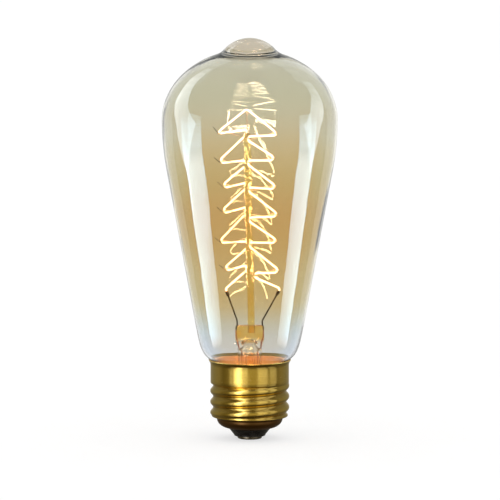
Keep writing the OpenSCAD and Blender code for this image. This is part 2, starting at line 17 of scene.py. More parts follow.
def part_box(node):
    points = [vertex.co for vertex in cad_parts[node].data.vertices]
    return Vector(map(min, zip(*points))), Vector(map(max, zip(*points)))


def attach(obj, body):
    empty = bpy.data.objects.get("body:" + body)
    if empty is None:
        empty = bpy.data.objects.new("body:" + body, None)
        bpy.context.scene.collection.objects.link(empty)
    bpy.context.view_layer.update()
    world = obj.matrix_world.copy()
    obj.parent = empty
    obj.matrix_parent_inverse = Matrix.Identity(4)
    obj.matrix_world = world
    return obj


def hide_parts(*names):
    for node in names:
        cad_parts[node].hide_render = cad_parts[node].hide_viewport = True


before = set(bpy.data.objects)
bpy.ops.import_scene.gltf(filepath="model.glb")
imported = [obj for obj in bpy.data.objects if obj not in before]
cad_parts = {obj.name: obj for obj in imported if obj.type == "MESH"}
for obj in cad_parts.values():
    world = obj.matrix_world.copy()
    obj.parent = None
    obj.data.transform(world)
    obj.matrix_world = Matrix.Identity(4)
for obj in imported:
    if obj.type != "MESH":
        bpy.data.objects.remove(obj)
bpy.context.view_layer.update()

MM = 0.001
BODY = "root"

# %% [markdown]
# ## Sizes
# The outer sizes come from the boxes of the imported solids, so a change there arrives here by
# itself. What a box can't tell, such as the pitch of the thread or the bends of the filament,
# is a named value. All lengths are in metres.

# %% Sizes from the frame
(_, _, NECK_Z), (BULB_R, _, LAMP_H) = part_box("glass_envelope")
(_, _, MOUTH_Z), (RIM_R, _, RIM_Z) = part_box("screw_shell")
(_, _, SQUEEZE_Z), (PRESS_HALF_W, _, PRESS_Z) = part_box("stem_press")
(_, _, EXHAUST_TIP_Z), (EXHAUST_R, _, EXHAUST_TOP_Z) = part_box("exhaust_tube")
(_, _, CEMENT_Z0), (_, _, COLLAR_Z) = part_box("basing_cement")
(_, _, CONTACT_H), (_, _, INSULATOR_TOP_Z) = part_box("insulator")
_, (CONTACT_R, _, EYELET_Z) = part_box("end_contact")
PRESS_W = 2 * PRESS_HALF_W
print("lamp", LAMP_H, "rim", RIM_Z, "press", PRESS_Z, "neck", NECK_Z)

# %% Sizes of the screw base
THREAD_PITCH = 3.629 * MM
THREAD_MAJOR_R = 13.1 * MM
THREAD_DEPTH = 0.95 * MM
THREAD_Z0 = 7.6 * MM
THREAD_Z1 = 18.9 * MM
THREAD_PHASE = 2.9 * MM
CREST_POWER = 2.8
SHELL_WALL = 0.3 * MM
COLLAR_R = 13.0 * MM
END_R = 10.9 * MM
MOUTH_R = 7.2 * MM
END_ROUND = 4.5 * MM
FIT = 0.05 * MM
ROOT_R = THREAD_MAJOR_R - THREAD_DEPTH

# %% Sizes of the glass
BELLY_Z = 106.0 * MM
PIP_H = 3.7 * MM
PIP_R = 9.4 * MM
BELLY_ARC_R = 90 * MM
SHOULDER_R = 8 * MM
SEAT_TURN = radians(59)
SEAT_R = RIM_R - SHELL_WALL - 0.35 * MM
GLASS_WALL = 0.8 * MM
NECK_R = 11.4 * MM
STEM_R = 4.05 * MM
STEM_WALL = 0.8 * MM
FLARE_H = 6.5 * MM
PRESS_T = 4.4 * MM
PRESS_H = 4.6 * MM
BLOCK_Z = PRESS_Z - PRESS_H

# %% Sizes of the rod, the tree and its wires
ROD_R = 1.15 * MM
ROD_LEN = 64 * MM
ROD_ROOT = 2.4 * MM
ROD_FOOT_X = 0.5 * MM
ROD_LEAN = radians(1.2)
TIERS = 6
TOP_TIER_Z = PRESS_Z + ROD_LEN - 0.4 * MM
TIER_PITCH = 9.15 * MM
UNEVEN = {-1: (0.2, -0.5, 0, 0.7, 0.6, -0.2), 1: (-0.7, 0, -0.3, -0.1, 0.1, -0.5)}
CROSS_UNEVEN = {-1: (-0.2, -0.5, 1.1, 1.5, -1.3, 1.5), 1: (-0.4, 0.3, 0.9, -0.3, 0.5, 0)}
FILAMENT_R = 0.35 * MM
BEND_CUT = 1.2 * MM
SIDE_REACH = 9.7 * MM + BEND_CUT - FILAMENT_R
CROSS_REACH = 6 * MM + BEND_CUT - FILAMENT_R
CROSS_OVER = 1.8 * MM
CROSS_RISE = 0.9 * MM
PEAK_Z = TOP_TIER_Z + 8.2 * MM
BEND_R = 0.9 * MM
SUPPORT_R = 0.125 * MM
LEFT_TAIL = 3.4 * MM
SHORT_TAIL = 1.5 * MM
LEAD_R = 0.25 * MM
LEAD_EXIT = PRESS_W / 2 - 0.65 * MM
LEAD_REACH = 9.1 * MM
LEAD_SHIFT = 0.8 * MM
LEAD_DROP = 5.3 * MM
KINK_Z = PRESS_Z + 1.6 * MM
KINK_BEND_H = 0.4 * MM
CLAMP_START = 0.8 * MM
CLAMP_LEN = 2 * MM
CLAMP_BOTTOM = 0.4 * MM
CLAMP_WALL = 0.12 * MM
STEM_WIRE_X = 2.65 * MM

# %% [markdown]
# ## Camera
# The photograph looks down on the lamp by just under seven degrees, with a long lens, so that the
# rings of the base are flat ovals. The camera isn't turned to the side and looks at the middle
# of the picture. The lens follows from the distance and the height that the picture covers.

# %% Camera
CAMERA_ELEVATION = radians(6.75)
CAMERA_DISTANCE = 2.2
VIEW_SPAN = 165.2 * MM
VIEW_CENTRE = Vector((0.08, 0, 62.8)) * MM
SENSOR = 36

camera_data = bpy.data.cameras.new("camera")
camera_data.sensor_width = SENSOR
camera_data.lens = SENSOR * CAMERA_DISTANCE / VIEW_SPAN
camera = bpy.data.objects.new("camera", camera_data)
to_camera = Vector((0, -cos(CAMERA_ELEVATION), sin(CAMERA_ELEVATION)))
camera.location = VIEW_CENTRE + CAMERA_DISTANCE * to_camera
camera.rotation_euler = to_camera.to_track_quat("Z", "Y").to_euler()
bpy.context.scene.collection.objects.link(camera)
bpy.context.scene.camera = camera
bpy.context.scene.view_settings.view_transform = "Standard"
print("lens", round(camera_data.lens, 1), "mm")

# %% [markdown]
# ## Materials
# Each finish is a node material, and small helpers keep the node code short. The effects that
# several finishes share are groups: mottle gives patches of colour, and streaks is noise that is
# drawn out, either round the axis as the fine lines that a roller leaves, or along it as the
# gentle waves of blown and pressed glass.


# %% Node helpers
def feed(tree, sockets, values):
    """Gives each socket its number or colour, or links another node's output to it."""
    for name, value in values.items():
        if isinstance(value, bpy.types.NodeSocket):
            tree.links.new(value, sockets[name])
        else:
            sockets[name].default_value = value


def add_node(tree, kind, inputs=None, **settings):
    """Adds a node with its settings, then its inputs by name or by number."""
    node = tree.nodes.new(kind)
    for name, value in settings.items():
        setattr(node, name, value)
    feed(tree, node.inputs, inputs or {})
    return node


def rgb(red, green, blue):
    return (red, green, blue, 1.0)


def math_node(tree, operation, *values):
    return add_node(tree, "ShaderNodeMath", dict(enumerate(values)), operation=operation).outputs[0]


def mix_colour(tree, factor, first, second, blend_type="MIX"):
    node = add_node(tree, "ShaderNodeMix", {0: factor, 6: first, 7: second}, data_type="RGBA",
                    blend_type=blend_type)
    return node.outputs[2]


def colour_ramp(tree, factor, stops):
    """A ramp from (position, red, green, blue) stops."""
    node = add_node(tree, "ShaderNodeValToRGB", {"Fac": factor})
    ramp = node.color_ramp
    while len(ramp.elements) < len(stops):
        ramp.elements.new(0.5)
    for element, (position, *colour) in zip(ramp.elements, stops):
        element.position = position
        element.color = rgb(*colour)
    return node.outputs["Color"]


def remap(tree, value, low, high, to_low=0.0, to_high=1.0):
    node = add_node(tree, "ShaderNodeMapRange", {
        "Value": value, "From Min": low, "From Max": high, "To Min": to_low, "To Max": to_high})
    return node.outputs["Result"]


def between(tree, mask, low, high):
    """The low value where the mask is 0, the high one where it is 1."""
    return remap(tree, mask, 0, 1, low, high)


def object_point(tree):
    return add_node(tree, "ShaderNodeTexCoord").outputs["Object"]


def object_axes(tree):
    """The point's X, Y and Z in the object's own coordinates."""
    return add_node(tree, "ShaderNodeSeparateXYZ", {"Vector": object_point(tree)}).outputs


def light_path(tree):
    return tree.nodes.new("ShaderNodeLightPath").outputs


def bump(tree, height, depth):
    """The normal of a relief whose depth is in metres."""
    return add_node(tree, "ShaderNodeBump", {
        "Strength": 1.0, "Distance": depth, "Height": height}).outputs["Normal"]


def show(tree, surface):
    """Links a shader to the material's output."""
    tree.links.new(surface, tree.get_output_node("ALL").inputs["Surface"])


def start_material(name):
    """A material with its Principled shader, linked to the output."""
    material = bpy.data.materials.new(name)
    material.use_nodes = True
    tree = material.node_tree
    tree.nodes.clear()
    tree.nodes.new("ShaderNodeOutputMaterial")
    shader = tree.nodes.new("ShaderNodeBsdfPrincipled")
    show(tree, shader.outputs[0])
    return material, tree, shader


# %% Shared effects
def start_group(name, inputs):
    """A shader group with number inputs (name: default) and one output, Mask."""
    group = bpy.data.node_groups.new(name, "ShaderNodeTree")
    for label, default in inputs.items():
        socket = group.interface.new_socket(label, in_out="INPUT", socket_type="NodeSocketFloat")
        socket.default_value = default
    group.interface.new_socket("Mask", in_out="OUTPUT", socket_type="NodeSocketFloat")
    given = group.nodes.new("NodeGroupInput").outputs
    return group, given, group.nodes.new("NodeGroupOutput").inputs["Mask"]


def noise(group, given, place, rough):
    """Noise whose grain has a real size."""
    scale = math_node(group, "DIVIDE", 1.0, given["Size"])
    node = add_node(group, "ShaderNodeTexNoise", {
        "Vector": place, "Scale": scale, "Detail": given["Detail"], "Roughness": rough})
    return node.outputs["Fac"]


def make_mottle():
    """Soft patches: noise that is pulled apart between Low and High."""
    group, given, mask = start_group(
        "mottle", {"Size": 4 * MM, "Detail": 4.0, "Low": 0.4, "High": 0.6})
    spots = noise(group, given, object_point(group), 0.6)
    group.links.new(remap(group, spots, given["Low"], given["High"]), mask)
    return group


def make_streaks():
    """Noise on a point that is squeezed across the axis or along it, which draws it out there."""
    group, given, mask = start_group(
        "streaks", {"Size": 10 * MM, "Detail": 2.0, "Across": 1.0, "Along": 1.0})
    axes = object_axes(group)
    point = add_node(group, "ShaderNodeCombineXYZ", {
        axis: math_node(group, "MULTIPLY", axes[axis], given[way])
        for axis, way in (("X", "Across"), ("Y", "Across"), ("Z", "Along"))})
    group.links.new(noise(group, given, point.outputs["Vector"], 0.5), mask)
    return group


MOTTLE = make_mottle()
STREAKS = make_streaks()


def use_group(tree, group, inputs):
    return add_node(tree, "ShaderNodeGroup", inputs, node_tree=group).outputs["Mask"]


def mottle(tree, size, detail, low, high):
    return use_group(tree, MOTTLE, {"Size": size, "Detail": detail, "Low": low, "High": high})


def rings(tree, size, squeeze):
    """Fine lines round the lamp's axis."""
    return use_group(tree, STREAKS, {"Size": size, "Detail": 3.0, "Across": squeeze, "Along": 1.0})


def flow(tree, size, length):
    """Slow waves along the axis, as glass keeps them from the fire."""
    return use_group(tree, STREAKS, {
        "Size": size, "Detail": 2.0, "Across": 1.0, "Along": 1 / length})


print("groups:", [g.name for g in bpy.data.node_groups])

# %% [markdown]
# ### Glass
# The envelope is blown from clear glass with a very thin amber coat. It is clear at the neck,
# warmest around the tree and a dull olive in the dome. Below the dome it is painted paler and more
# olive where it is seen at a slant. This is a painted reflection of the pale surroundings, which
# glass shows more of at a slant. Light goes through two walls, so the colour written here counts
# twice. The glass inside is thicker and has its own tints: clear in the flare, amber in the press,
# and paler up the rod. A shadow ray is let through as if the glass were open, because real light
# would be bent through it and the renderer can't find that path: without this the lamp would throw
# a black shadow and its inside would be dark.

# %% Glass materials
GLASS_BENDING = 1.5
DUST_ROUGH = 0.012
SLANT_REFLECTION_FACING = (0.25, 0.5)
SLANT_REFLECTION_HEIGHTS = (108 * MM, 100 * MM)
CLEAR_TINT = rgb(1.0, 0.97, 0.9)
BLOCK_HEIGHTS = (BLOCK_Z - 1.4 * MM, BLOCK_Z + 0.2 * MM)
PALE_HEIGHTS = (PRESS_Z + 8 * MM, PRESS_Z + 20 * MM)
# Each: share of the way from the brass rim to the pip, and the tint of one wall
ENVELOPE_TINTS = (
    (0.04, 0.762, 0.754, 0.735), (0.094, 0.725, 0.725, 0.67), (0.187, 0.727, 0.623, 0.40),
    (0.28, 0.73, 0.61, 0.38), (0.373, 0.715, 0.568, 0.322), (0.466, 0.72, 0.566, 0.33),
    (0.56, 0.713, 0.607, 0.377), (0.653, 0.74, 0.65, 0.455), (0.746, 0.73, 0.695, 0.57),
    (0.82, 0.715, 0.71, 0.60), (0.935, 0.73, 0.725, 0.635), (0.96, 0.60, 0.55, 0.45),
    (1.0, 0.55, 0.49, 0.38))


def finish_glass(tree, shader, shadow_tint):
    """Lets shadow rays pass, tinted a little."""
    clear = add_node(tree, "ShaderNodeBsdfTransparent", {"Color": shadow_tint})
    mix = add_node(tree, "ShaderNodeMixShader", {
        0: light_path(tree)["Is Shadow Ray"], 1: shader.outputs[0], 2: clear.outputs[0]})
    show(tree, mix.outputs[0])


def make_amber_glass():
    material, tree, shader = start_material("amber_glass")
    z = object_axes(tree)["Z"]
    tint = colour_ramp(tree, remap(tree, z, RIM_Z, LAMP_H), ENVELOPE_TINTS)
    patches = math_node(tree, "MULTIPLY", mottle(tree, 30 * MM, 2.0, 0.3, 0.7), 0.12)
    tint = mix_colour(tree, patches, tint, rgb(0.80, 0.76, 0.64))
    # The paler, more olive colour at a slant is a painted reflection, not a tint of the glass.
    olive = mix_colour(tree, 1.0, tint, rgb(1.01, 1.15, 1.38), "MULTIPLY")
    slant = add_node(tree, "ShaderNodeLayerWeight", {"Blend": 0.5}).outputs["Facing"]
    painted_slant_reflection = math_node(tree, "MULTIPLY", remap(tree, slant, *SLANT_REFLECTION_FACING),
                        remap(tree, z, *SLANT_REFLECTION_HEIGHTS))
    dust = mottle(tree, 6 * MM, 6.0, 0.55, 0.8)
    feed(tree, shader.inputs, {
        "Base Color": mix_colour(tree, painted_slant_reflection, tint, olive),
        "Roughness": between(tree, dust, 0.0, DUST_ROUGH), "Transmission Weight": 1.0,
        "IOR": GLASS_BENDING, "Specular Tint": rgb(0.55, 0.78, 1.0),
        "Normal": bump(tree, flow(tree, 14 * MM, 3.0), 0.3 * MM)})
    finish_glass(tree, shader, rgb(0.97, 0.94, 0.88))
    return material


def make_stem_glass(name, tint, second_tint, high_tint, wave, bending):
    """The glass inside: clear below the block, two tints in patches, one tint higher up."""
    material, tree, shader = start_material(name)
    z = object_axes(tree)["Z"]
    patches = mottle(tree, 3 * MM, 3.0, 0.35, 0.65)
    colour = mix_colour(tree, patches, tint, second_tint)
    colour = mix_colour(tree, remap(tree, z, *PALE_HEIGHTS), colour, high_tint)
    colour = mix_colour(tree, remap(tree, z, *BLOCK_HEIGHTS), CLEAR_TINT, colour)
    feed(tree, shader.inputs, {
        "Base Color": colour, "Roughness": between(tree, patches, 0.0, 0.06),
        "Transmission Weight": 1.0, "IOR": bending,
        "Normal": bump(tree, flow(tree, 2.5 * MM, 2.0), wave)})
    finish_glass(tree, shader, rgb(0.97, 0.93, 0.85))
    return material


AMBER_GLASS = make_amber_glass()
STEM_GLASS = make_stem_glass("stem_glass", CLEAR_TINT, CLEAR_TINT, CLEAR_TINT, 0.04 * MM, 1.25)
PRESS_GLASS = make_stem_glass("press_glass", rgb(1.0, 0.74, 0.24), rgb(0.98, 0.56, 0.08),
                              CLEAR_TINT, 0.6 * MM, 1.28)
ROD_GLASS = make_stem_glass("rod_glass", rgb(0.99, 0.82, 0.34), rgb(0.98, 0.68, 0.16),
                            rgb(1.0, 0.94, 0.55), 0.06 * MM, GLASS_BENDING)

# %% [markdown]
# ### Metals
# The shell is thin brass sheet. Its thread is rolled, which leaves fine lines round it. The grooves
# are painted darker as shade, so the crests stay brighter, and the turned-in end is painted dark
# brown as shade. Lead wires are steel that has darkened in the fire of the press, and the wires in
# the glass have a copper skin.


# %% Metal materials
def make_brass():
    material, tree, shader = start_material("brass")
    axes = object_axes(tree)
    stain = mottle(tree, 5 * MM, 5.0, 0.4, 0.75)
    specks = mottle(tree, 0.7 * MM, 6.0, 0.6, 0.8)
    level = add_node(tree, "ShaderNodeCombineXYZ", {"X": axes["X"], "Y": axes["Y"]})
    radius = add_node(tree, "ShaderNodeVectorMath", {0: level.outputs["Vector"]},
                      operation="LENGTH")
    # Painted shade: the thread's grooves are darkened towards the root.
    groove_shade = remap(tree, radius.outputs["Value"], THREAD_MAJOR_R - 0.2 * MM, ROOT_R)
    # Painted shade: the turned-in end below the thread is darkened to dark brown.
    end_shade = remap(tree, axes["Z"], THREAD_Z0 + 0.3 * MM, THREAD_Z0 - 0.9 * MM)
    colour = rgb(0.87, 0.63, 0.17)
    for mask, share, darker in ((stain, 0.5, rgb(0.76, 0.50, 0.11)),
                                (groove_shade, 0.4, rgb(0.50, 0.31, 0.08)),
                                (specks, 0.5, rgb(0.42, 0.26, 0.10)),
                                (end_shade, 1.0, rgb(0.26, 0.135, 0.05))):
        colour = mix_colour(tree, math_node(tree, "MULTIPLY", mask, share), colour, darker)
    rough = 0.14
    for mask, more in ((stain, 0.10), (end_shade, 0.22), (specks, 0.2)):
        rough = math_node(tree, "MULTIPLY_ADD", mask, more, rough)
    feed(tree, shader.inputs, {
        "Base Color": colour, "Roughness": rough, "Metallic": 1.0,
        "Normal": bump(tree, rings(tree, 0.22 * MM, 0.03), 0.012 * MM)})
    return material


def make_plain_metal(name, clean, dull, rough, size, grain):
    """A metal of two colours in patches, with a fine grain."""
    material, tree, shader = start_material(name)
    patches = mottle(tree, size, 5.0, 0.35, 0.65)
    feed(tree, shader.inputs, {
        "Base Color": mix_colour(tree, patches, rgb(*clean), rgb(*dull)),
        "Roughness": between(tree, patches, rough, rough + 0.2), "Metallic": 1.0,
        "Normal": bump(tree, patches, grain)})
    return material


BRASS = make_brass()
# Each: name, clean colour, dull colour, roughness, size of the patches, depth of the grain
SUPPORT_METAL, LEAD_METAL, COPPER, SHADED_CONTACT_METAL, SOLDER = (make_plain_metal(*row) for row in (
    ("support_wire", (0.36, 0.33, 0.30), (0.20, 0.16, 0.13), 0.35, 0.8 * MM, 0.02 * MM),
    ("lead_wire", (0.13, 0.075, 0.03), (0.06, 0.032, 0.014), 0.35, 1.2 * MM, 0.02 * MM),
    ("copper_wire", (0.80, 0.38, 0.20), (0.50, 0.20, 0.12), 0.25, 1 * MM, 0.02 * MM),
    # The end contact's dark colours are painted shade from under the lamp.
    ("contact_metal", (0.30, 0.26, 0.21), (0.12, 0.10, 0.08), 0.28, 1.2 * MM, 0.02 * MM),
    ("solder", (0.62, 0.61, 0.59), (0.38, 0.37, 0.36), 0.30, 0.9 * MM, 0.05 * MM)))

# %% [markdown]
# ### Black glass, cement and the glow
# The insulator is black glass that was poured into the shell and pressed, so it is glossy with
# faint flow lines. The cement is a baked orange paste with grit. The filament is white hot, a
# little less so in patches. Its real strength would wash out the picture, so it is kept low where
# it is seen straight or through glass. In a mirror it is raised, because its faint reflections in
# the glass would be lost otherwise, and it is warmer there, as the amber coat tints them.

# %% Black glass, cement and glow
MIRRORED_GLOW = 30.0


def make_black_glass():
    material, tree, shader = start_material("black_glass")
    patches = mottle(tree, 2 * MM, 4.0, 0.4, 0.7)
    feed(tree, shader.inputs, {
        "Base Color": mix_colour(tree, patches, rgb(0.012, 0.011, 0.011), rgb(0.03, 0.027, 0.025)),
        "Roughness": between(tree, patches, 0.12, 0.35),
        "Normal": bump(tree, flow(tree, 2 * MM, 1.0), 0.08 * MM)})
    return material


def make_cement():
    material, tree, shader = start_material("cement")
    patches = mottle(tree, 1.5 * MM, 5.0, 0.35, 0.7)
    grit = mottle(tree, 0.4 * MM, 3.0, 0.3, 0.7)
    feed(tree, shader.inputs, {
        "Base Color": mix_colour(tree, patches, rgb(1.0, 0.52, 0.20), rgb(0.86, 0.37, 0.11)),
        "Roughness": between(tree, grit, 0.6, 0.9), "Normal": bump(tree, grit, 0.1 * MM)})
    return material


def make_glow():
    """White heat. A ray bent by glass is flagged as glossy too, so it is taken out again."""
    material, tree, shader = start_material("filament_glow")
    heat = mottle(tree, 4 * MM, 2.0, 0.3, 0.7)
    glow = mix_colour(tree, heat, rgb(1.0, 0.90, 0.76), rgb(1.0, 0.95, 0.86))
    ghost = mix_colour(tree, 1.0, glow, rgb(1.0, 0.62, 0.42), "MULTIPLY")
    path = light_path(tree)
    mirrored = math_node(tree, "SUBTRACT", path["Is Glossy Ray"], path["Is Transmission Ray"])
    extra = add_node(tree, "ShaderNodeVectorMath", {
        0: ghost, "Scale": math_node(tree, "MULTIPLY", mirrored, MIRRORED_GLOW)},
        operation="SCALE")
    seen = add_node(tree, "ShaderNodeVectorMath", {0: glow, 1: extra.outputs["Vector"]},
                    operation="ADD")
    feed(tree, shader.inputs, {
        "Base Color": mix_colour(tree, heat, rgb(0.16, 0.14, 0.12), rgb(0.24, 0.21, 0.18)),
        "Roughness": between(tree, heat, 0.4, 0.55), "Metallic": 1.0,
        "Emission Color": seen.outputs["Vector"], "Emission Strength": 2.5})
    return material


BLACK_GLASS = make_black_glass()
CEMENT = make_cement()
GLOW = make_glow()
print("materials:", len(bpy.data.materials))

# %% [markdown]
# ## Ways to make a piece
# Most of the lamp is turned or blown, so an outline is drawn in the plane of the axis and spun
# round it. Wires are curves with a round section. Every finished piece is named, gets its
# material, rides on the body and stands for its solid in the frame. Edges that bend by more than
# SHARP_EDGE are drawn crisp, because long faces would shade falsely across them.

# %% Piece helpers
SHARP_EDGE = radians(35)
ALMOST_STRAIGHT = radians(89.9)
CORNER_SHARE = 0.45
TINY = 0.001 * MM


def finish_piece(obj, material, nodes):
    bpy.context.scene.collection.objects.link(obj)
    obj.data.materials.append(material)
    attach(obj, BODY)
    if nodes:
        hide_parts(*nodes)


def mesh_piece(name, shape, material, nodes=()):
    """Turns a bmesh into a piece whose faces point outwards and whose corners stay crisp."""
    bmesh.ops.recalc_face_normals(shape, faces=shape.faces)
    for face in shape.faces:
        face.smooth = True
    for edge in shape.edges:
        edge.smooth = edge.calc_face_angle(0.0) < SHARP_EDGE
    mesh = bpy.data.meshes.new(name)
    shape.to_mesh(mesh)
    shape.free()
    mesh.update()
    finish_piece(bpy.data.objects.new(name, mesh), material, nodes)
    print(name, sum(len(p.vertices) - 2 for p in mesh.polygons), "triangles")


def spun(outline, steps=96, closed=True):
    """A bmesh from an outline of (radius, height) points, spun round the axis."""
    shape = bmesh.new()
    points = [shape.verts.new((r, 0, z)) for r, z in outline]
    pairs = list(zip(points, points[1:]))
    if closed and outline[0][0] > 0:
        pairs.append((points[-1], points[0]))
    edges = [shape.edges.new(pair) for pair in pairs]
    bmesh.ops.spin(shape, geom=points + edges, cent=(0, 0, 0), axis=(0, 0, 1),
                   angle=2 * pi, steps=steps, use_merge=True, use_duplicate=False)
    bmesh.ops.remove_doubles(shape, verts=shape.verts, dist=TINY)
    return shape


def ease(t):
    t = min(1.0, max(0.0, t))
    return t * t * (3 - 2 * t)


def spaced(first, last, count):
    """Even steps from the first value to the last, both included."""
    return [first + (last - first) * i / count for i in range(count + 1)]


def arc(centre, radius, start, stop, count, tall=None):
    """Points on a circle, or on an ellipse of another height, by angle from the outward side."""
    tall = radius if tall is None else tall
    return [(centre[0] + radius * cos(turn), centre[1] + tall * sin(turn))
            for turn in spaced(start, stop, count)]


def wire_piece(name, routes, radius, material, nodes=(), sides=8):
    """Round wires along lists of points, as one curve object."""
    curve = bpy.data.curves.new(name, "CURVE")
    curve.dimensions = "3D"
    curve.bevel_depth = radius
    curve.bevel_resolution = (sides - 4) // 2
    curve.use_fill_caps = True
    curve.twist_mode = "MINIMUM"
    for route in routes:
        spline = curve.splines.new("POLY")
        spline.points.add(len(route) - 1)
        for point, place in zip(spline.points, route):
            point.co = (*place, 1)
    finish_piece(bpy.data.objects.new(name, curve), material, nodes)
    print(name, sum(len(r) for r in routes), "points,", len(routes), "wires")


def swing(centre, first, last, sweep, steps):
    """Places on the arc round a centre from one arm to the other, a sweep apart."""
    return [centre + (first * sin(sweep * (1 - t)) + last * sin(sweep * t)) / sin(sweep)
            for t in spaced(0, 1, steps)]


def rounded(points, radius, steps=5):
    """The same route with each inner corner turned into an arc."""
    points = [Vector(p) for p in points]
    route = [points[0]]
    for before, corner, after in zip(points, points[1:], points[2:]):
        u, v = (before - corner), (after - corner)
        half = u.angle(v) / 2
        room = CORNER_SHARE * min(u.length, v.length)
        reach = min(radius / tan(half), room) if half < ALMOST_STRAIGHT else 0
        if reach <= 0:
            route.append(corner)
            continue
        u.normalize()
        v.normalize()
        bend = reach * tan(half)
        centre = corner + (u + v).normalized() * bend / sin(half)
        first, last = corner + u * reach - centre, corner + v * reach - centre
        route += swing(centre, first, last, first.angle(last), steps)
    route.append(points[-1])
    return route


# %% [markdown]
# ## Glass envelope
# The bulb is blown into a mould: a neck, a shoulder that sits on the brass rim, a straight taper,
# a long curve up to the widest place, a flat dome and a pip. The taper is the line that touches
# both the shoulder's arc and the belly's. Spinning one outline that runs down the outside and back
# up the inside gives a real wall, so that light bends at four surfaces. Hot glass keeps no sharp
# bend, so the foot of the pip and the top of the shoulder are spread over a short stretch, and the
# melted glass that closed the bulb has gathered under the pip.

# %% Envelope outline
SHOULDER_C = (SEAT_R - SHOULDER_R * cos(SEAT_TURN), RIM_Z + SHOULDER_R * sin(SEAT_TURN))
BELLY_C = (BULB_R - BELLY_ARC_R, BELLY_Z)
CENTRE_GAP = (BELLY_C[0] - SHOULDER_C[0], BELLY_C[1] - SHOULDER_C[1])
TAPER = (acos((SHOULDER_R - BELLY_ARC_R) / sqrt(CENTRE_GAP[0] ** 2 + CENTRE_GAP[1] ** 2))
         - atan2(CENTRE_GAP[1], CENTRE_GAP[0]))
DOME_H = LAMP_H - BELLY_Z - PIP_H
PIP_FILLET = 2 * MM
PIP_EASING = 6
TIP_GLASS = 0.5 * MM
TIP_REACH = 14 * MM
TAPER_ROWS = 60
SHOULDER_REACH = 10 * MM
SHOULDER_EASING = 30


def soften(points, middle, reach, rounds):
    """Spreads the bend at the middle over a longer stretch, as hot glass does."""
    line = [Vector(p) for p in points]
    middle = Vector(middle)
    for _ in range(rounds):
        eased = [p.copy() for p in line]
        for i in range(1, len(line) - 1):
            near = max(0.0, 1 - (line[i] - middle).length / reach)
            eased[i] = line[i].lerp((line[i - 1] + line[i + 1]) / 2, 0.5 * near)
        line = eased
    return [tuple(p) for p in line]


def dome_line(inset, first_r, count=40):
    """The dome from a radius out to the widest place."""
    across, up = BULB_R - inset, DOME_H - inset
    return arc((0, BELLY_Z), across, acos(first_r / across), 0, count, up)


def outer_crown():
    """Pip and dome outside."""
    dome = dome_line(0, PIP_R)
    rise = LAMP_H - dome[0][1]
    cap_r = (rise ** 2 + PIP_R ** 2) / (2 * rise)
    cap = [(cap_r * sin(a), LAMP_H - cap_r * (1 - cos(a)))
           for a in spaced(0, asin(PIP_R / cap_r), 18)]
    return soften(cap + dome[1:], cap[-1], PIP_FILLET, PIP_EASING)


def inner_crown():
    """The dome inside, lower under the pip, where the melted glass has gathered."""
    return [(r, z - TIP_GLASS * max(0.0, 1 - (r / TIP_REACH) ** 2) ** 2)
            for r, z in dome_line(GLASS_WALL, 0, 60)]


def body_line(inset):
    """One surface of the glass from the widest place down to the neck's end."""
    belly = arc(BELLY_C, BELLY_ARC_R - inset, 0, -TAPER, 12)[1:]
    neck_turn = acos((NECK_R - inset - SHOULDER_C[0]) / (SHOULDER_R - inset))
    shoulder = arc(SHOULDER_C, SHOULDER_R - inset, -TAPER, -neck_turn, 16)
    low, high = Vector(shoulder[0]), Vector(belly[-1])
    taper = [tuple(high.lerp(low, t)) for t in spaced(0, 1, TAPER_ROWS)[1:-1]]
    line = belly + taper + shoulder + [(NECK_R - inset, NECK_Z)]
    return soften(line, shoulder[0], SHOULDER_REACH, SHOULDER_EASING)


print("taper", round(TAPER * 180 / pi, 2), "degrees, dome", round(DOME_H / MM, 2), "mm")

# %% Envelope
envelope_outline = (outer_crown() + body_line(0)
                    + list(reversed(inner_crown() + body_line(GLASS_WALL))))
mesh_piece("glass_envelope_blown", spun(envelope_outline, 160, closed=False), AMBER_GLASS,
           ["glass_envelope"])

# %% [markdown]
# ## Stem
# The stem starts as a glass tube with a trumpet flare that is fused to the neck. Its upper end is
# heated and pinched flat round the wires, which is the press. The exhaust tube sits inside it:
# the air was pumped out through it, and its end was then melted shut inside the base.

# %% Flare and exhaust tube
FLARE_EDGE = NECK_R - GLASS_WALL - 0.3 * MM
FLARE_TOP_Z = NECK_Z + FLARE_H
FUSED_EDGE = 0.1 * MM
EXHAUST_WALL = 0.6 * MM


def flare_line(inset):
    """The trumpet from the tube down to its rim, inset below the upper surface."""
    return arc((FLARE_EDGE, FLARE_TOP_Z), -(FLARE_EDGE - STEM_R + inset), 0, pi / 2, 16,
               -(FLARE_H + inset))


flare_outline = ([(STEM_R, SQUEEZE_Z - FIT)] + flare_line(0)
                 + [(NECK_R - FUSED_EDGE, NECK_Z - FIT), (NECK_R, NECK_Z - 0.3 * MM),
                    (NECK_R - FUSED_EDGE, NECK_Z - STEM_WALL)]
                 + list(reversed(flare_line(STEM_WALL)))
                 + [(STEM_R - STEM_WALL, SQUEEZE_Z - FIT)])
mesh_piece("stem_flare_drawn", spun(flare_outline, 96), STEM_GLASS, ["stem_flare"])

exhaust_outline = (
    arc((0, EXHAUST_TIP_Z + EXHAUST_R), EXHAUST_R, -pi / 2, 0, 10)
    + [(EXHAUST_R, EXHAUST_TOP_Z), (EXHAUST_R - EXHAUST_WALL, EXHAUST_TOP_Z),
       (EXHAUST_R - EXHAUST_WALL, EXHAUST_TIP_Z + 2 * EXHAUST_R),
       (0, EXHAUST_TIP_Z + 1.4 * EXHAUST_R)])
mesh_piece("exhaust_tube_sealed", spun(exhaust_outline, 64, closed=False), STEM_GLASS,
           ["exhaust_tube"])

# %% [markdown]
# ## Press
# The press is round glass squeezed between two jaws. Rings of points follow its height: a circle at
# the tube, then longer and flatter until the block. The jaws leave a shallow dent with soft
# edges on the front and the back, the top is rounded by the flame, and below, the hollow of the
# exhaust tube opens into it with a blown hole.

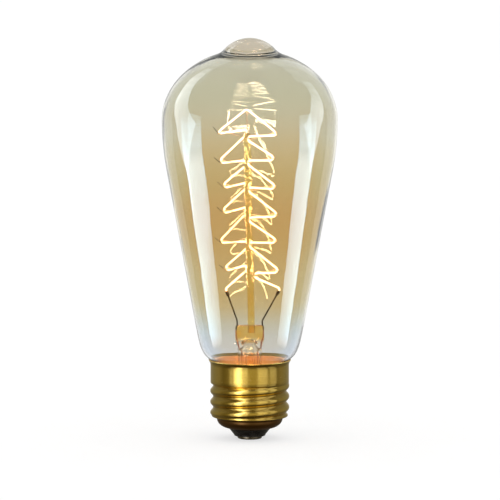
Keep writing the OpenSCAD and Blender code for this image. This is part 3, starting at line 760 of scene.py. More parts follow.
# %% Press
PRESS_RING = 72
PRESS_ROUND = 0.7 * MM
SIDE_STEEPNESS = 2.2
DENT_DEPTH = 0.55 * MM
DENT_FOOT_Z = BLOCK_Z - 1.2 * MM
DENT_MIDDLE_Z = (BLOCK_Z + PRESS_Z) / 2 - 0.1 * MM
DENT_HALF_W = PRESS_W * 0.36
DENT_HALF_H = PRESS_H * 0.5
FACE_Y = 0.4 * MM
HOLLOW_TOP_R = EXHAUST_R + 0.05 * MM
HOLLOW_H = 1.8 * MM
HOLLOW_ROUND = 1.2 * MM


def press_point(turn, z, share, inset):
    """A point on the press's skin; the share grows from 0 at the tube to 1 at the block."""
    blend = ease(share)
    flat = (PRESS_W - PRESS_T) / 2 * blend
    radius = STEM_R + (PRESS_T / 2 - STEM_R) * blend - inset
    x = radius * cos(turn) + flat * max(-1, min(1, SIDE_STEEPNESS * cos(turn)))
    return (x, radius * sin(turn), z)


def press_rings():
    """Heights, shares of the way to the block and insets, from the tube up to the rounded top."""
    squeeze = [(SQUEEZE_Z + (BLOCK_Z - SQUEEZE_Z) * t, t, 0) for t in spaced(0, 1, 10)]
    block = [(z, 1, 0) for z in spaced(BLOCK_Z, PRESS_Z - PRESS_ROUND, 9)[1:]]
    top = [(PRESS_Z - PRESS_ROUND * (1 - sin(a)), 1, PRESS_ROUND * (1 - cos(a)))
           for a in spaced(0, pi / 2, 6)[1:]]
    return squeeze + block + top


def jaw_dent(place):
    """How deep the jaws have pushed in at a place on the front or the back."""
    side = max(0.0, 1 - (place.x / DENT_HALF_W) ** 4)
    up = (place.z - DENT_MIDDLE_Z) / DENT_HALF_H
    return DENT_DEPTH * side * max(0.0, 1 - up ** 4)


def add_ring(shape, places):
    """A closed ring of edges through the places."""
    ring = bmesh.ops.create_circle(shape, segments=len(places), radius=1)["verts"]
    for vert, place in zip(ring, places):
        vert.co = place
    return ring


def make_press():
    shape = bmesh.new()
    turns = spaced(0, 2 * pi, PRESS_RING)[:-1]
    rings_up = [add_ring(shape, [press_point(turn, *row) for turn in turns])
                for row in press_rings()]
    hollow = [(STEM_R - STEM_WALL, SQUEEZE_Z)]
    hollow += [(HOLLOW_TOP_R * cos(a), SQUEEZE_Z + HOLLOW_H + HOLLOW_ROUND * sin(a))
               for a in (radians(turn) for turn in (0, 20, 40, 60, 75))]
    for r, z in hollow:
        rings_up.insert(0, add_ring(shape, [(r * cos(turn), r * sin(turn), z) for turn in turns]))
    for low, high in zip(rings_up, rings_up[1:]):
        edges = [e for e in shape.edges if all(v in low for v in e.verts)
                 or all(v in high for v in e.verts)]
        bmesh.ops.bridge_loops(shape, edges=edges)
    for ring in (rings_up[0], rings_up[-1]):
        bmesh.ops.contextual_create(shape, geom=ring)
    for vert in shape.verts:
        if abs(vert.co.y) > FACE_Y and vert.co.z > DENT_FOOT_Z:
            vert.co.y -= jaw_dent(vert.co) * (1 if vert.co.y > 0 else -1)
    return shape


mesh_piece("stem_press_pinched", make_press(), PRESS_GLASS, ["stem_press"])

# %% [markdown]
# ## Rod
# A solid glass rod stands in the press, leaning a little to the left. It swells where each tier's
# wires were pushed into it hot, and its top is melted round. The outline is spun upright, and
# the lean that everything on the rod shares is applied afterwards.

# %% Rod
WIRE_DROP = 1.6 * MM
BEAD_H = 1.6 * MM
BEAD_SWELL = 0.14 * MM
ROD_TOP = PRESS_Z + ROD_LEN
ROD_ROWS = 170


def leaned(point):
    """A point of the tree, leaned about the middle of the press's top."""
    x, y, z = point
    h = z - PRESS_Z
    return Vector((ROD_FOOT_X + x * cos(ROD_LEAN) - h * sin(ROD_LEAN), y,
                   PRESS_Z + h * cos(ROD_LEAN) + x * sin(ROD_LEAN)))


def unleaned(point):
    """The place on the upright tree that leans to a point."""
    x, h = point[0] - ROD_FOOT_X, point[2] - PRESS_Z
    return Vector((x * cos(ROD_LEAN) + h * sin(ROD_LEAN), point[1],
                   PRESS_Z + h * cos(ROD_LEAN) - x * sin(ROD_LEAN)))


def tip_z(side, tier):
    """Height of a side tip: -1 is the left side, 1 the right."""
    return TOP_TIER_Z - tier * TIER_PITCH + UNEVEN[side][tier] * MM


def rod_radius(z):
    """The rod's radius with a soft bead where each tier's wires stand in it."""
    beads = [tip_z(side, tier) - WIRE_DROP for side in (-1, 1) for tier in range(TIERS)]
    bead = max(max(0.0, 1 - ((z - middle) / BEAD_H) ** 2) for middle in beads)
    return ROD_R + BEAD_SWELL * bead * bead


rod_sides = [(rod_radius(z), z) for z in spaced(PRESS_Z - ROD_ROOT, ROD_TOP - ROD_R, ROD_ROWS)]
rod_outline = ([(0, PRESS_Z - ROD_ROOT)] + rod_sides
               + arc((0, ROD_TOP - ROD_R), ROD_R, 0, pi / 2, 8)[1:])
rod_shape = spun(rod_outline, 40, closed=False)
for vert in rod_shape.verts:
    vert.co = leaned(vert.co)
mesh_piece("centre_rod_drawn", rod_shape, ROD_GLASS, ["centre_rod"])

# %% [markdown]
# ## Filament
# The filament is one tungsten wire wound into a long thin coil. The coil is hung in a zigzag: from
# the left lead it goes up by the left and the back tips, over the peak, and down by the right and
# the front tips to the right lead. First the middle line is drawn with a round bend at each tip,
# then the wire winds round that line in a helix of real turns, and the whole is one piece.


# %% Filament route
def side_tip(side, tier):
    return Vector((side * SIDE_REACH, 0, tip_z(side, tier)))


def cross_tip(side, tier):
    """The tip behind the rod for the left side, and in front of it for the right side."""
    rise = CROSS_RISE + CROSS_UNEVEN[side][tier] * MM
    return Vector((-side * CROSS_OVER, -side * CROSS_REACH, tip_z(side, tier) + rise))


def lead_tip(side):
    """The corner over a lead wire."""
    return Vector((side * LEAD_REACH + LEAD_SHIFT, 0, tip_z(side, TIERS - 1) - LEAD_DROP))


def lead_kink(side):
    """Where a lead wire has bent outwards above the press, on the upright lamp."""
    return Vector((side * LEAD_EXIT, 0, KINK_Z + KINK_BEND_H))


def filament_end(side):
    """The coil's end, deep in the clamp that stands in line with the lead wire."""
    down = (unleaned(lead_kink(side)) - lead_tip(side)).normalized()
    return lead_tip(side) + (CLAMP_START + CLAMP_LEN - CLAMP_BOTTOM - FIT) * down


PEAK = Vector((0, 0, PEAK_Z))


def corner_run(side):
    return [tip(side, tier) for tier in range(TIERS) for tip in (side_tip, cross_tip)]


corners = ([filament_end(-1), lead_tip(-1)] + corner_run(-1)[::-1] + [PEAK]
           + corner_run(1) + [lead_tip(1), filament_end(1)])


def bend_centre(before, corner, after):
    u, v = (before - corner).normalized(), (after - corner).normalized()
    return corner + (u + v).normalized() * BEND_R / sin(u.angle(v) / 2)


def bend_arc(before, corner, after):
    """The round bend that replaces a corner."""
    u, v = (before - corner).normalized(), (after - corner).normalized()
    half = u.angle(v) / 2
    centre = bend_centre(before, corner, after)
    first = corner + u * BEND_R / tan(half) - centre
    last = corner + v * BEND_R / tan(half) - centre
    return swing(centre, first, last, pi - 2 * half, 10)


filament_line = [corners[0]]
for before, corner, after in zip(corners, corners[1:], corners[2:]):
    filament_line += bend_arc(before, corner, after)
filament_line.append(corners[-1])
filament_length = sum((b - a).length for a, b in zip(filament_line, filament_line[1:]))
print("coil length", round(filament_length / MM), "mm")

# %% Coil
COIL_WIRE_R = 0.085 * MM
COIL_PITCH = 0.30 * MM
POINTS_PER_TURN = 8


def evenly(points, step):
    """The same line with points a step apart."""
    places, carried = [points[0].copy()], 0.0
    for a, b in zip(points, points[1:]):
        length = (b - a).length
        along = step - carried
        while along <= length:
            places.append(a.lerp(b, along / length))
            along += step
        carried = length - (along - step)
    return places


def coil(line, radius):
    """A helix round the line, with a frame that is carried along without twist."""
    places = evenly(line, COIL_PITCH / POINTS_PER_TURN)
    tangent = (places[1] - places[0]).normalized()
    normal = tangent.orthogonal().normalized()
    route = []
    for i, place in enumerate(places):
        ahead = places[min(i + 1, len(places) - 1)] - places[max(i - 1, 0)]
        tangent = ahead.normalized()
        normal = (normal - tangent * normal.dot(tangent)).normalized()
        turn = 2 * pi * i / POINTS_PER_TURN
        route.append(place + radius * (cos(turn) * normal + sin(turn) * tangent.cross(normal)))
    return route


coil_route = [leaned(p) for p in coil(filament_line, FILAMENT_R - COIL_WIRE_R)]
wire_piece("filament_coil", [coil_route], COIL_WIRE_R, GLOW, ["filament"], sides=6)

# %% [markdown]
# ## Hooks and leads
# A thin wire leaves the rod at each tip, kinks, winds once and a half round the coil and ends in a
# free tail. The left tails are long enough to show against the glass. The leads come out of the
# press, bend outwards, and their flattened ends are folded over the filament like a clamp.

# %% Support hooks
HOOK_R = FILAMENT_R + SUPPORT_R + 0.03 * MM
HOOK_STEPS = 18
HOOK_TURNS = 1.5
TURN_SHIFT = 3.2 * SUPPORT_R
HOOK_ASIDE = 0.5
HOOK_RISE = Vector((0, 0, 0.3))
KINK_BACK = 1.3 * MM
FOOT_RUN = 0.4 * MM
WIRE_BEND = 0.35 * MM
SUPPORT_STEP = 1.2 * MM


def hook_route(before, corner, after, outward, tail):
    """From the rod to the bend, once and a half round the coil, and out along the tail."""
    centre = bend_centre(before, corner, after)
    across = (before - corner).cross(after - corner).normalized()
    if across.dot(outward) < 0:
        across = -across
    out = (outward + HOOK_ASIDE * across + HOOK_RISE).normalized()
    kink = centre - KINK_BACK * out
    foot = (ROD_R + FIT) * outward + Vector((0, 0, kink.z - SUPPORT_STEP))
    away = (corner - centre).normalized()
    along = ((after - corner).normalized() - (before - corner).normalized()).normalized()
    side = along.cross(away).normalized()
    middle = centre + away * BEND_R
    loop = []
    for t in spaced(0, 1, HOOK_STEPS):
        turn = pi + 2 * pi * HOOK_TURNS * t
        shift = (t - 0.5) * TURN_SHIFT * HOOK_TURNS
        loop.append(middle + HOOK_R * (cos(turn) * away + sin(turn) * side) + along * shift)
    route = rounded([foot, foot + FOOT_RUN * outward, kink, loop[0]], WIRE_BEND)
    return [leaned(p) for p in route + loop[1:] + [centre + tail * out]]


def tier_hooks(tier):
    routes = []
    for side in (-1, 1):
        above = PEAK if tier == 0 else cross_tip(side, tier - 1)
        below = lead_tip(side) if tier == TIERS - 1 else side_tip(side, tier + 1)
        here, cross = side_tip(side, tier), cross_tip(side, tier)
        routes.append(hook_route(above, here, cross, Vector((side, 0, 0)),
                                 LEFT_TAIL if side < 0 else SHORT_TAIL))
        routes.append(hook_route(here, cross, below, Vector((0, -side, 0)), SHORT_TAIL))
    return routes


for tier in range(TIERS):
    wire_piece(f"support_hooks_{tier + 1}", tier_hooks(tier), SUPPORT_R, SUPPORT_METAL,
               [f"supports_tier_{tier + 1}"])

# %% Peak hook
peak_m = bend_centre(side_tip(-1, 0), PEAK, side_tip(1, 0))
hook_side = -(FILAMENT_R + 2 * SUPPORT_R + 0.3 * MM)
peak_points = [(0, 0, ROD_TOP - 0.1 * MM), (0, 0, ROD_TOP + 0.5 * MM),
               (0, hook_side, ROD_TOP + 1.7 * MM), (0, hook_side, peak_m.z - 0.35 * MM),
               (0, 0, peak_m.z + 0.05 * MM), (0, 0.9 * MM, peak_m.z + 0.1 * MM),
               (0, 1.2 * MM, peak_m.z + 0.5 * MM)]
wire_piece("peak_hook_bent", [[leaned(p) for p in rounded(peak_points, WIRE_BEND)]], SUPPORT_R,
           SUPPORT_METAL, ["peak_hook"])

# %% Leads
LEAD_WELD_Z = PRESS_Z - 1.55 * MM
CLAMP_BORE = FILAMENT_R + FIT
CLAMP_EDGE = 0.08 * MM
CLAMP_NECK = 0.6 * MM
SEAM_HALF = 0.16 * MM
SEAM_DEPTH = 0.14 * MM
CRIMP = 0.07
LEAD_BEND = 1.0 * MM


def clamp(bottom, along):
    """The wire's end, hammered flat and folded round the coil: a cup with a seam and a crimp."""
    outer = CLAMP_BORE + CLAMP_WALL
    widening = [(LEAD_R + (outer - LEAD_R) * ease(t), CLAMP_NECK * t) for t in spaced(0, 1, 6)]
    outline = ([(0, 0)] + widening
               + [(outer, CLAMP_LEN - CLAMP_EDGE), (outer - CLAMP_EDGE, CLAMP_LEN),
                  (CLAMP_BORE + CLAMP_EDGE, CLAMP_LEN), (CLAMP_BORE, CLAMP_LEN - CLAMP_EDGE),
                  (CLAMP_BORE, CLAMP_BOTTOM), (0, CLAMP_BOTTOM)])
    shape = spun(outline, 40, closed=False)
    for vert in shape.verts:
        turn = atan2(vert.co.y, vert.co.x)
        squeeze = 1 - CRIMP * ease(vert.co.z / CLAMP_NECK) * (0.5 + 0.5 * cos(2 * turn))
        vert.co.x, vert.co.y = vert.co.x * squeeze, vert.co.y * squeeze
        if vert.co.y < -CLAMP_BORE - CLAMP_EDGE and abs(vert.co.x) < SEAM_HALF:
            vert.co.y += SEAM_DEPTH
    turn = along.to_track_quat("Z", "Y").to_matrix().to_4x4()
    bmesh.ops.transform(shape, matrix=Matrix.Translation(bottom) @ turn, verts=shape.verts)
    return shape


def make_lead(side, name, node):
    tip, kink = leaned(lead_tip(side)), lead_kink(side)
    down = (kink - tip).normalized()
    bottom = tip + (CLAMP_START + CLAMP_LEN) * down
    exit_x = side * LEAD_EXIT
    route = rounded([(exit_x, 0, LEAD_WELD_Z), (exit_x, 0, KINK_Z), bottom], LEAD_BEND, 8)
    wire_piece(name, [route], LEAD_R, LEAD_METAL, [node], sides=12)
    mesh_piece(f"{name}_clamp", clamp(bottom, -down), LEAD_METAL)


make_lead(-1, "lead_wire_left", "lead_left")
make_lead(1, "lead_wire_right", "lead_right")

# %% [markdown]
# ## Wires in the glass and in the base
# Below the leads, wires with a copper skin pass through the press, because copper seals to glass.
# They end inside the stem, where two thin flexible wires take over: one goes out between neck and
# shell to the rim, the other down through the eyelet to the end contact.

# %% Seal wires and base wires
SEAL_R = 0.2 * MM
BASE_WIRE_R = 0.1 * MM
SEAL_TOP_Z = PRESS_Z - 1.6 * MM
SEAL_BEND_Z = BLOCK_Z + 0.6 * MM
SEAL_EXIT_Z = SQUEEZE_Z - 0.4 * MM
SEAL_END_Z = SQUEEZE_Z - 2 * MM
SEAL_BEND = 0.6 * MM
SHELL_LEAD_R = NECK_R + BASE_WIRE_R + FIT

for side, label in ((-1, "left"), (1, "right")):
    route = rounded([(side * LEAD_EXIT, 0, SEAL_TOP_Z), (side * LEAD_EXIT, 0, SEAL_BEND_Z),
                     (side * STEM_WIRE_X, 0, SEAL_EXIT_Z), (side * STEM_WIRE_X, 0, SEAL_END_Z)],
                    SEAL_BEND)
    wire_piece(f"seal_wire_{label}_copper", [route], SEAL_R, COPPER,
               [f"seal_wire_{label}"], sides=12)

shell_lead_points = [
    (STEM_WIRE_X, 0, SEAL_END_Z - FIT), (STEM_WIRE_X, 0, NECK_Z - STEM_WALL),
    (STEM_WIRE_X * 0.8, 3 * MM, NECK_Z - STEM_WALL - 1 * MM),
    (0, SHELL_LEAD_R, NECK_Z - STEM_WALL - 1 * MM), (0, SHELL_LEAD_R, COLLAR_Z),
    (0, 12.64 * MM, RIM_Z - 0.53 * MM), (0, SEAT_R + 0.175 * MM, RIM_Z),
    (0, RIM_R, RIM_Z + BASE_WIRE_R + FIT)]
wire_piece("shell_lead_wire", [rounded(shell_lead_points, 0.5 * MM)], BASE_WIRE_R, COPPER,
           ["shell_lead"])

contact_lead_points = [
    (-STEM_WIRE_X, 0, SEAL_END_Z - FIT), (-STEM_WIRE_X, 0, NECK_Z - 3.6 * MM),
    (0, 0, EYELET_Z + 0.1 * MM), (0, 0, 0.45 * MM)]
wire_piece("contact_lead_wire", [rounded(contact_lead_points, 0.8 * MM)], BASE_WIRE_R, COPPER,
           ["contact_lead"])

# %% [markdown]
# ## Screw shell
# The shell is thin sheet that was drawn to a cup, rolled to a thread between two rollers and
# flared at the rim. Its outline is spun with many rows, then each point is moved in or out by the
# thread's wave, which climbs one pitch in a turn and runs in and out over a quarter of a pitch. A
# wall is added inwards last.

# %% Shell
SHELL_STEPS = 180
ROWS_PER_TURN = 18
RIM_ROWS = 8
COLLAR_ROWS = 6
END_ROWS = 8
THREAD_MID_R = THREAD_MAJOR_R - THREAD_DEPTH / 2
THREAD_RUN_IN = THREAD_PITCH / 4
END_TOP_Z = THREAD_Z0 - 0.85 * MM


def shell_radius(z, turn):
    if z > COLLAR_Z:
        return COLLAR_R + (RIM_R - COLLAR_R) * ((z - COLLAR_Z) / (RIM_Z - COLLAR_Z)) ** 2
    if z >= THREAD_Z1:
        return COLLAR_R
    if z > THREAD_Z0:
        weight = ease((z - THREAD_Z0) / THREAD_RUN_IN) * ease((THREAD_Z1 - z) / THREAD_RUN_IN)
        plain = COLLAR_R if z > (THREAD_Z0 + THREAD_Z1) / 2 else THREAD_MID_R
        phase = 2 * pi * (z - THREAD_Z0 - THREAD_PHASE) / THREAD_PITCH - turn
        wave = 1 - 2 * abs(sin(phase / 2)) ** CREST_POWER
        return plain * (1 - weight) + (THREAD_MID_R + THREAD_DEPTH / 2 * wave) * weight
    return END_R + (THREAD_MID_R - END_R) * ease((z - END_TOP_Z) / (THREAD_Z0 - END_TOP_Z))


def shell_rows():
    """Heights of the rows from the rim down to the turned-in end's shoulder."""
    thread_rows = ceil((THREAD_Z1 - THREAD_Z0) / THREAD_PITCH * ROWS_PER_TURN)
    rows = [RIM_Z]
    for high, low, count in ((RIM_Z, COLLAR_Z, RIM_ROWS), (COLLAR_Z, THREAD_Z1, COLLAR_ROWS),
                             (THREAD_Z1, THREAD_Z0, thread_rows), (THREAD_Z0, END_TOP_Z, END_ROWS)):
        rows += spaced(high, low, count)[1:]
    return rows


def turned_end(gap, count):
    """The turned-in end, an arc of an ellipse down to the mouth, a gap inside the outer skin."""
    wide = END_ROUND - gap
    stop = acos((MOUTH_R - (END_R - END_ROUND)) / wide)
    tall = (END_TOP_Z - MOUTH_Z - gap) / sin(stop)
    return arc((END_R - END_ROUND, END_TOP_Z), wide, 0, -stop, count, tall)[1:]


def make_shell():
    outline = [(END_R, z) for z in shell_rows()] + turned_end(0, 14)
    shape = spun(outline, SHELL_STEPS, closed=False)
    for vert in shape.verts:
        if vert.co.z > END_TOP_Z + TINY:
            turn = atan2(vert.co.y, vert.co.x)
            radius = shell_radius(vert.co.z, turn)
            vert.co.x, vert.co.y = radius * cos(turn), radius * sin(turn)
    bmesh.ops.recalc_face_normals(shape, faces=shape.faces)
    side_face = max(shape.faces, key=lambda f: f.calc_center_median().x)
    if side_face.normal.x < 0:
        bmesh.ops.reverse_faces(shape, faces=shape.faces)
    bmesh.ops.solidify(shape, geom=shape.faces, thickness=SHELL_WALL)
    return shape


mesh_piece("screw_shell_rolled", make_shell(), BRASS, ["screw_shell"])

# %% [markdown]
# ## Insulator, contact, cement and solder
# Black glass fills the turned-in end and stands out as a cone that carries the end contact. The
# contact is a brass eyelet with a button, with solder in its dish. Its metal is painted dark as the
# shade under the lamp. A ring of cement holds the glass neck and swells into the flared rim, and a
# drop of solder fixes the side wire on the rim at the back.

# %% Insulator
CONE_TIP_R = 4.9 * MM
CONE_ROUND = 0.35 * MM
EYELET_R = 1.5 * MM
SHELL_FIT = 0.1 * MM
BEVEL = 0.3 * MM
INSULATOR_R = END_R - SHELL_WALL - SHELL_FIT
insulator_outline = (
    [(EYELET_R + FIT, INSULATOR_TOP_Z), (INSULATOR_R - BEVEL, INSULATOR_TOP_Z),
     (INSULATOR_R, INSULATOR_TOP_Z - BEVEL)]
    + turned_end(SHELL_WALL + SHELL_FIT, 10)[:-1]
    + [(MOUTH_R - SHELL_FIT, MOUTH_Z + 0.4 * MM), (MOUTH_R - SHELL_FIT, MOUTH_Z + 0.05 * MM),
       (MOUTH_R - BEVEL, MOUTH_Z - 0.15 * MM),
       (CONE_TIP_R + 0.34 * MM, CONTACT_H + 0.42 * MM)]
    + arc((CONE_TIP_R, CONTACT_H + CONE_ROUND), CONE_ROUND, 0, -pi / 2, 5)
    + [(EYELET_R + FIT, CONTACT_H)])
mesh_piece("insulator_black_glass", spun(insulator_outline, 96), BLACK_GLASS,
           ["insulator"])

# %% End contact and its solder
SOLDER_R = 2.1 * MM
DISH_H = 0.4 * MM
DISH_R = SOLDER_R + FIT
DISH_LIP = 0.12 * MM
BUTTON_H = 0.9 * MM
BUTTON_ROUND = 0.54 * MM
BUTTON_EDGE = 0.08 * MM
EYELET_BORE_R = 0.9 * MM

contact_outline = (
    [(DISH_R, DISH_LIP)]
    + arc((DISH_R + DISH_LIP, DISH_LIP), DISH_LIP, pi, 1.5 * pi, 4)[1:]
    + arc((CONTACT_R - BUTTON_ROUND, BUTTON_ROUND), BUTTON_ROUND, -pi / 2, 0, 8)
    + [(CONTACT_R, BUTTON_H - BUTTON_EDGE), (CONTACT_R - BUTTON_EDGE, BUTTON_H),
       (EYELET_R, BUTTON_H), (EYELET_R, EYELET_Z), (EYELET_BORE_R, EYELET_Z),
       (EYELET_BORE_R, DISH_H + FIT), (DISH_R, DISH_H + FIT)])
mesh_piece("end_contact_button", spun(contact_outline, 96), SHADED_CONTACT_METAL,
           ["end_contact"])

drop_outline = [(0, 0), (SOLDER_R * 0.55, 0), (SOLDER_R * 0.85, 0.06 * MM),
                (SOLDER_R, DISH_H * 0.5), (SOLDER_R, DISH_H), (0, DISH_H)]
mesh_piece("contact_solder_drop", spun(drop_outline, 64, closed=False), SOLDER,
           ["contact_solder"])

# %% Cement
SWELL_Z = RIM_Z - 0.9 * MM
cement_in, cement_out = NECK_R + FIT, COLLAR_R - SHELL_WALL - SHELL_FIT
swell = [(shell_radius(z, 0) - SHELL_WALL - SHELL_FIT, z) for z in spaced(COLLAR_Z, SWELL_Z, 5)]
cement_outline = ([(cement_in, CEMENT_Z0), (cement_out, CEMENT_Z0)] + swell
                  + [((cement_in + swell[-1][0]) / 2, SWELL_Z - 0.1 * MM), (cement_in, SWELL_Z)])
mesh_piece("basing_cement_ring", spun(cement_outline, 120), CEMENT, ["basing_cement"])

# %% Rim solder
SOLDER_DROP_R = 1.1 * MM
DROP_SINK = 0.9 * MM
rim_drop = bmesh.new()
bmesh.ops.create_uvsphere(rim_drop, u_segments=32, v_segments=20, radius=SOLDER_DROP_R)
bmesh.ops.translate(rim_drop, verts=rim_drop.verts, vec=(0, RIM_R, RIM_Z - DROP_SINK))
for vert in rim_drop.verts:
    turn = atan2(vert.co.y, vert.co.x)
    reach = sqrt(vert.co.x ** 2 + vert.co.y ** 2)
    skin = shell_radius(min(vert.co.z, RIM_Z), turn) + FIT
    if reach < skin:
        vert.co.x, vert.co.y = skin * cos(turn), skin * sin(turn)
mesh_piece("rim_solder_drop", rim_drop, SOLDER, ["shell_solder"])

# %% [markdown]
# ## Floor, world and lights
# The floor is plain and pale. To the camera it shows as white, and it keeps the lamp's soft shadow.
# The world is plain white light for everything that scatters. Mirrors see a studio instead: a
# brownish front, darker sides and a pale back, because a shiny thing looks like its surroundings.
# A ray that comes through the glass sees white straight behind it, and a warm grey where the
# glass has bent it far to the side.

# %% Floor
FLOOR_GLOW = 0.62
FLOOR_REACH = 6.0


def make_floor_material():
    material, tree, shader = start_material("floor_paper")
    grain = mottle(tree, 20 * MM, 3.0, 0.3, 0.7)
    feed(tree, shader.inputs, {
        "Base Color": mix_colour(tree, grain, rgb(0.46, 0.46, 0.46), rgb(0.44, 0.44, 0.44)),
        "Roughness": 1.0, "Specular IOR Level": 0.0})
    path = light_path(tree)
    seen = math_node(tree, "MAXIMUM", path["Is Camera Ray"], path["Is Transmission Ray"])
    glow = add_node(tree, "ShaderNodeEmission", {
        "Strength": math_node(tree, "MULTIPLY", seen, FLOOR_GLOW)})
    both = add_node(tree, "ShaderNodeAddShader", {0: shader.outputs[0], 1: glow.outputs[0]})
    show(tree, both.outputs[0])
    return material


floor_shape = bmesh.new()
bmesh.ops.create_grid(floor_shape, x_segments=1, y_segments=1, size=FLOOR_REACH)
floor_mesh = bpy.data.meshes.new("floor")
floor_shape.to_mesh(floor_mesh)
floor_shape.free()
floor = bpy.data.objects.new("floor", floor_mesh)
floor.data.materials.append(make_floor_material())
bpy.context.scene.collection.objects.link(floor)
floor.visible_glossy = False

# %% World
# Each: share of the way from the camera's side to the back, and the colour a mirror sees there
ROUND_ABOUT = (
    (0.0, 0.42, 0.37, 0.18), (0.3, 0.17, 0.145, 0.06), (0.45, 0.13, 0.11, 0.05),
    (0.6, 0.22, 0.20, 0.14), (0.85, 0.22, 0.22, 0.19), (0.95, 0.26, 0.26, 0.24),
    (1.0, 0.55, 0.55, 0.52))
# Each: share of the way from straight down to straight up, and the factor there
UP_AND_DOWN = (
    (0.0, 0.25, 0.22, 0.2), (0.3, 0.6, 0.58, 0.55), (0.45, 1, 1, 1),
    (0.75, 0.9, 0.9, 0.9), (1.0, 0.6, 0.6, 0.6))


def make_world():
    world = bpy.data.worlds.new("studio")
    world.use_nodes = True
    tree = world.node_tree
    tree.nodes.clear()
    direction = add_node(tree, "ShaderNodeTexCoord").outputs["Generated"]
    parts = add_node(tree, "ShaderNodeSeparateXYZ", {"Vector": direction}).outputs
    zone = colour_ramp(tree, remap(tree, parts["Y"], -1, 1), ROUND_ABOUT)
    level = colour_ramp(tree, remap(tree, parts["Z"], -1, 1), UP_AND_DOWN)
    studio = mix_colour(tree, 1.0, zone, level, "MULTIPLY")
    backdrop = mix_colour(tree, remap(tree, parts["Y"], 0.1, 0.75), rgb(0.74, 0.71, 0.58),
                          rgb(1, 1, 1))
    path = light_path(tree)
    colour = rgb(0.9, 0.9, 0.9)
    for kind, surroundings in (("Is Glossy Ray", studio), ("Is Transmission Ray", backdrop),
                               ("Is Camera Ray", rgb(1, 1, 1))):
        colour = mix_colour(tree, path[kind], colour, surroundings)
    background = add_node(tree, "ShaderNodeBackground", {"Color": colour, "Strength": 1.0})
    output = tree.nodes.new("ShaderNodeOutputWorld")
    tree.links.new(background.outputs[0], output.inputs["Surface"])
    world.cycles.sampling_method = "NONE"
    return world


bpy.context.scene.world = make_world()

# %% [markdown]
# ### Soft boxes
# The bright bands at both sides of the glass are reflections of long strips. A band fades towards
# its end, so each is built from several panels of unlike length that overlap. Smaller boxes draw
# the inner bands, three panels stand behind, one high in front lights the cement, and a row of
# upright panels lights the brass. Each is linked to the pieces it was set up for, as a
# photographer masks a lamp with flags. Two panels in one plane would hide each other by chance,
# so every new one stands a little further out than the last.

# %% Soft boxes
PANEL_DISTANCE = 0.9
PANEL_GAP = 5 * MM
LAMP_MIDDLE = Vector((0, 0, 0.08))
UP = Vector((0, 0, 1))
STRIP_DIP = -8
STRIP_FOOT = 0.06
STRIP_LEAN = Vector((0, 0.84, 1))
STRIP_RADIANCE = 0.84
NEUTRAL = (1.0, 1.0, 1.0)
WARM = (1.0, 0.95, 0.92)
COOL = (0.78, 0.88, 0.90)
LOW_COOL = (0.62, 0.88, 1.0)
LOW_WARM = (1.0, 0.78, 0.62)
LOW_WARM_TOP = -14
PANEL_FOOT = -12.5
FILL_SHARE = 0.55


def receivers(name, pieces):
    """A collection that names the pieces a light is linked to."""
    group = bpy.data.collections.new(name)
    for piece in pieces:
        group.objects.link(bpy.data.objects[piece])
    return group


def panel(name, place, facing, up, width, height, radiance, colour, group):
    """An even rectangular light; facing points from the lamp to the panel."""
    light = bpy.data.lights.new(name, "AREA")
    light.shape = "RECTANGLE"
    light.size = width
    light.size_y = height
    light.color = colour
    light.energy = radiance * width * height * 4
    obj = bpy.data.objects.new(name, light)
    sideways = up.cross(facing).normalized()
    turned = Matrix((sideways, up.normalized(), facing.normalized())).transposed()
    further = PANEL_GAP * len(bpy.data.lights) * facing.normalized()
    obj.matrix_world = Matrix.Translation(place + further) @ turned.to_4x4()
    obj.visible_camera = False
    obj.visible_transmission = False
    obj.light_linking.receiver_collection = group
    bpy.context.scene.collection.objects.link(obj)

def towards(turn, rise):
    """A direction by its turn from the camera's side, to the right, and its rise in degrees."""
    turn, rise = radians(turn), radians(rise)
    return Vector((sin(turn) * cos(rise), -cos(turn) * cos(rise), sin(rise)))


def edge(degrees):
    """How far from a panel's middle a ray from the lamp at this slant meets it."""
    return PANEL_DISTANCE * tan(radians(degrees))


def soft_box(name, turn, spread, low, high, radiance, colour, group):
    """An upright panel; spread is its width and low and high are its edges, in degrees."""
    facing = towards(turn, 0)
    place = LAMP_MIDDLE + PANEL_DISTANCE * facing + (edge(low) + edge(high)) / 2 * UP
    panel(name, place, facing, UP, 2 * edge(spread / 2), edge(high) - edge(low), radiance, colour,
          group)


def leaning_strip(name, turn, spread, length, radiance, colour, group):
    """A long strip beside the lamp that leans back over it."""
    facing = towards(turn, STRIP_DIP)
    along = (STRIP_LEAN - STRIP_LEAN.dot(facing) * facing).normalized()
    place = LAMP_MIDDLE + PANEL_DISTANCE * facing + (length - STRIP_FOOT) / 2 * along
    panel(name, place, facing, along, 2 * edge(spread / 2), length + STRIP_FOOT, radiance, colour,
          group)


glass_group = receivers("lit_glass", (
    "glass_envelope_blown", "stem_flare_drawn", "exhaust_tube_sealed", "stem_press_pinched",
    "centre_rod_drawn"))
metal_group = receivers("lit_metal", (
    "screw_shell_rolled", "insulator_black_glass", "end_contact_button", "contact_solder_drop",
    "rim_solder_drop"))
cement_group = receivers("lit_cement", ["basing_cement_ring"])

# Lengths of the tall strips at the left and at the right
for step, (left, right) in enumerate(((1.1, 0.6), (1.5, 0.8), (2.0, 1.0), (2.6, 1.3), (3.6, 1.8))):
    leaning_strip(f"strip_left_tall_{step + 1}", -88, 31, left, STRIP_RADIANCE, WARM, glass_group)
    leaning_strip(f"strip_right_tall_{step + 1}", 85.5, 27, right, STRIP_RADIANCE, WARM,
                  glass_group)
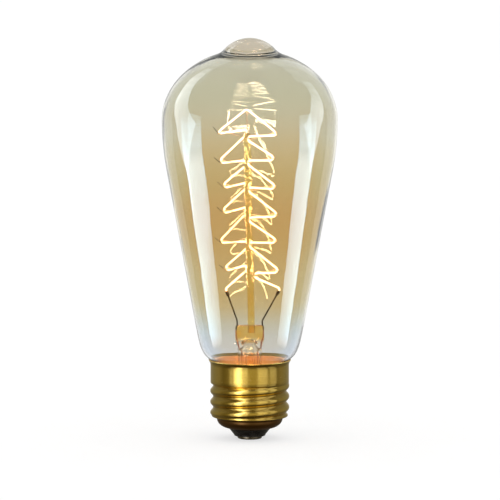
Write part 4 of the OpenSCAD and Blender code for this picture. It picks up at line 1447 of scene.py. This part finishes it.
# Each: top and bottom of a low box in degrees, and its radiance
for step, (top, bottom, radiance) in enumerate((
        (8, -24.5, 0.95), (2, -25.5, 0.95), (-3, -26.5, 0.95), (-7, -27.5, 1.1), (-10, -28.5, 1.3),
        (-12.5, -30, 1.4), (-15, -31.5, 1.4), (-17, -33, 1.4), (-19, -35, 1.4))):
    colour = LOW_WARM if top < LOW_WARM_TOP else LOW_COOL
    soft_box(f"strip_left_low_{step + 1}", -82.5, 38, bottom, top, radiance, colour, glass_group)
    soft_box(f"strip_right_low_{step + 1}", 82.5, 33, bottom, top, radiance, colour, glass_group)
# Each: name, turn, spread, low, high, radiance, colour and the pieces it lights
for row in (("strip_left_inner", -77, 26, -13, 16, 2.4, COOL, glass_group),
            ("strip_right_inner", 79, 24, -13, 16, 2.4, COOL, glass_group),
            ("cement_top", 0, 70, 25, 75, 8.0, NEUTRAL, cement_group),
            ("back_left", -144, 52, -50, 55, 0.5, NEUTRAL, glass_group),
            ("back_right", 144, 52, -50, 55, 0.5, NEUTRAL, glass_group),
            ("back_middle", 180, 64, -50, 75, 0.15, NEUTRAL, glass_group)):
    soft_box(*row)
# Each: name, turn, spread, and radiance above the studio's own level
for label, turn, spread, radiance in (
        ("left_far", -56, 12, 0.35), ("left_middle", -37, 26, 1.3), ("left_core", -31, 21, 1.3),
        ("left_near", -14.5, 19, 0.55), ("right_near", 39, 38, 0.42), ("right_far", 73, 30, 0.36)):
    soft_box(f"panel_{label}", turn, spread, PANEL_FOOT, 72, radiance, NEUTRAL, metal_group)
    soft_box(f"fill_{label}", turn, spread, -50, PANEL_FOOT, FILL_SHARE * radiance, NEUTRAL,
             metal_group)
print("lights:", len(bpy.data.lights))

# %% [markdown]
# ## Light paths
# A ray that looks at the stem crosses more than a dozen surfaces of glass one behind the other.
# The usual limit ends it there and leaves the stem black, so the limits are raised. The limit on
# single bright samples is set high enough to keep the filament's reflections, and low enough
# that they leave no specks.

# %% Light paths
GLASS_SURFACES = 32
GLINT_LIMIT = 60
cycles = bpy.context.scene.cycles
cycles.sample_clamp_indirect = GLINT_LIMIT
cycles.max_bounces = GLASS_SURFACES
cycles.transmission_bounces = GLASS_SURFACES
cycles.transparent_max_bounces = GLASS_SURFACES
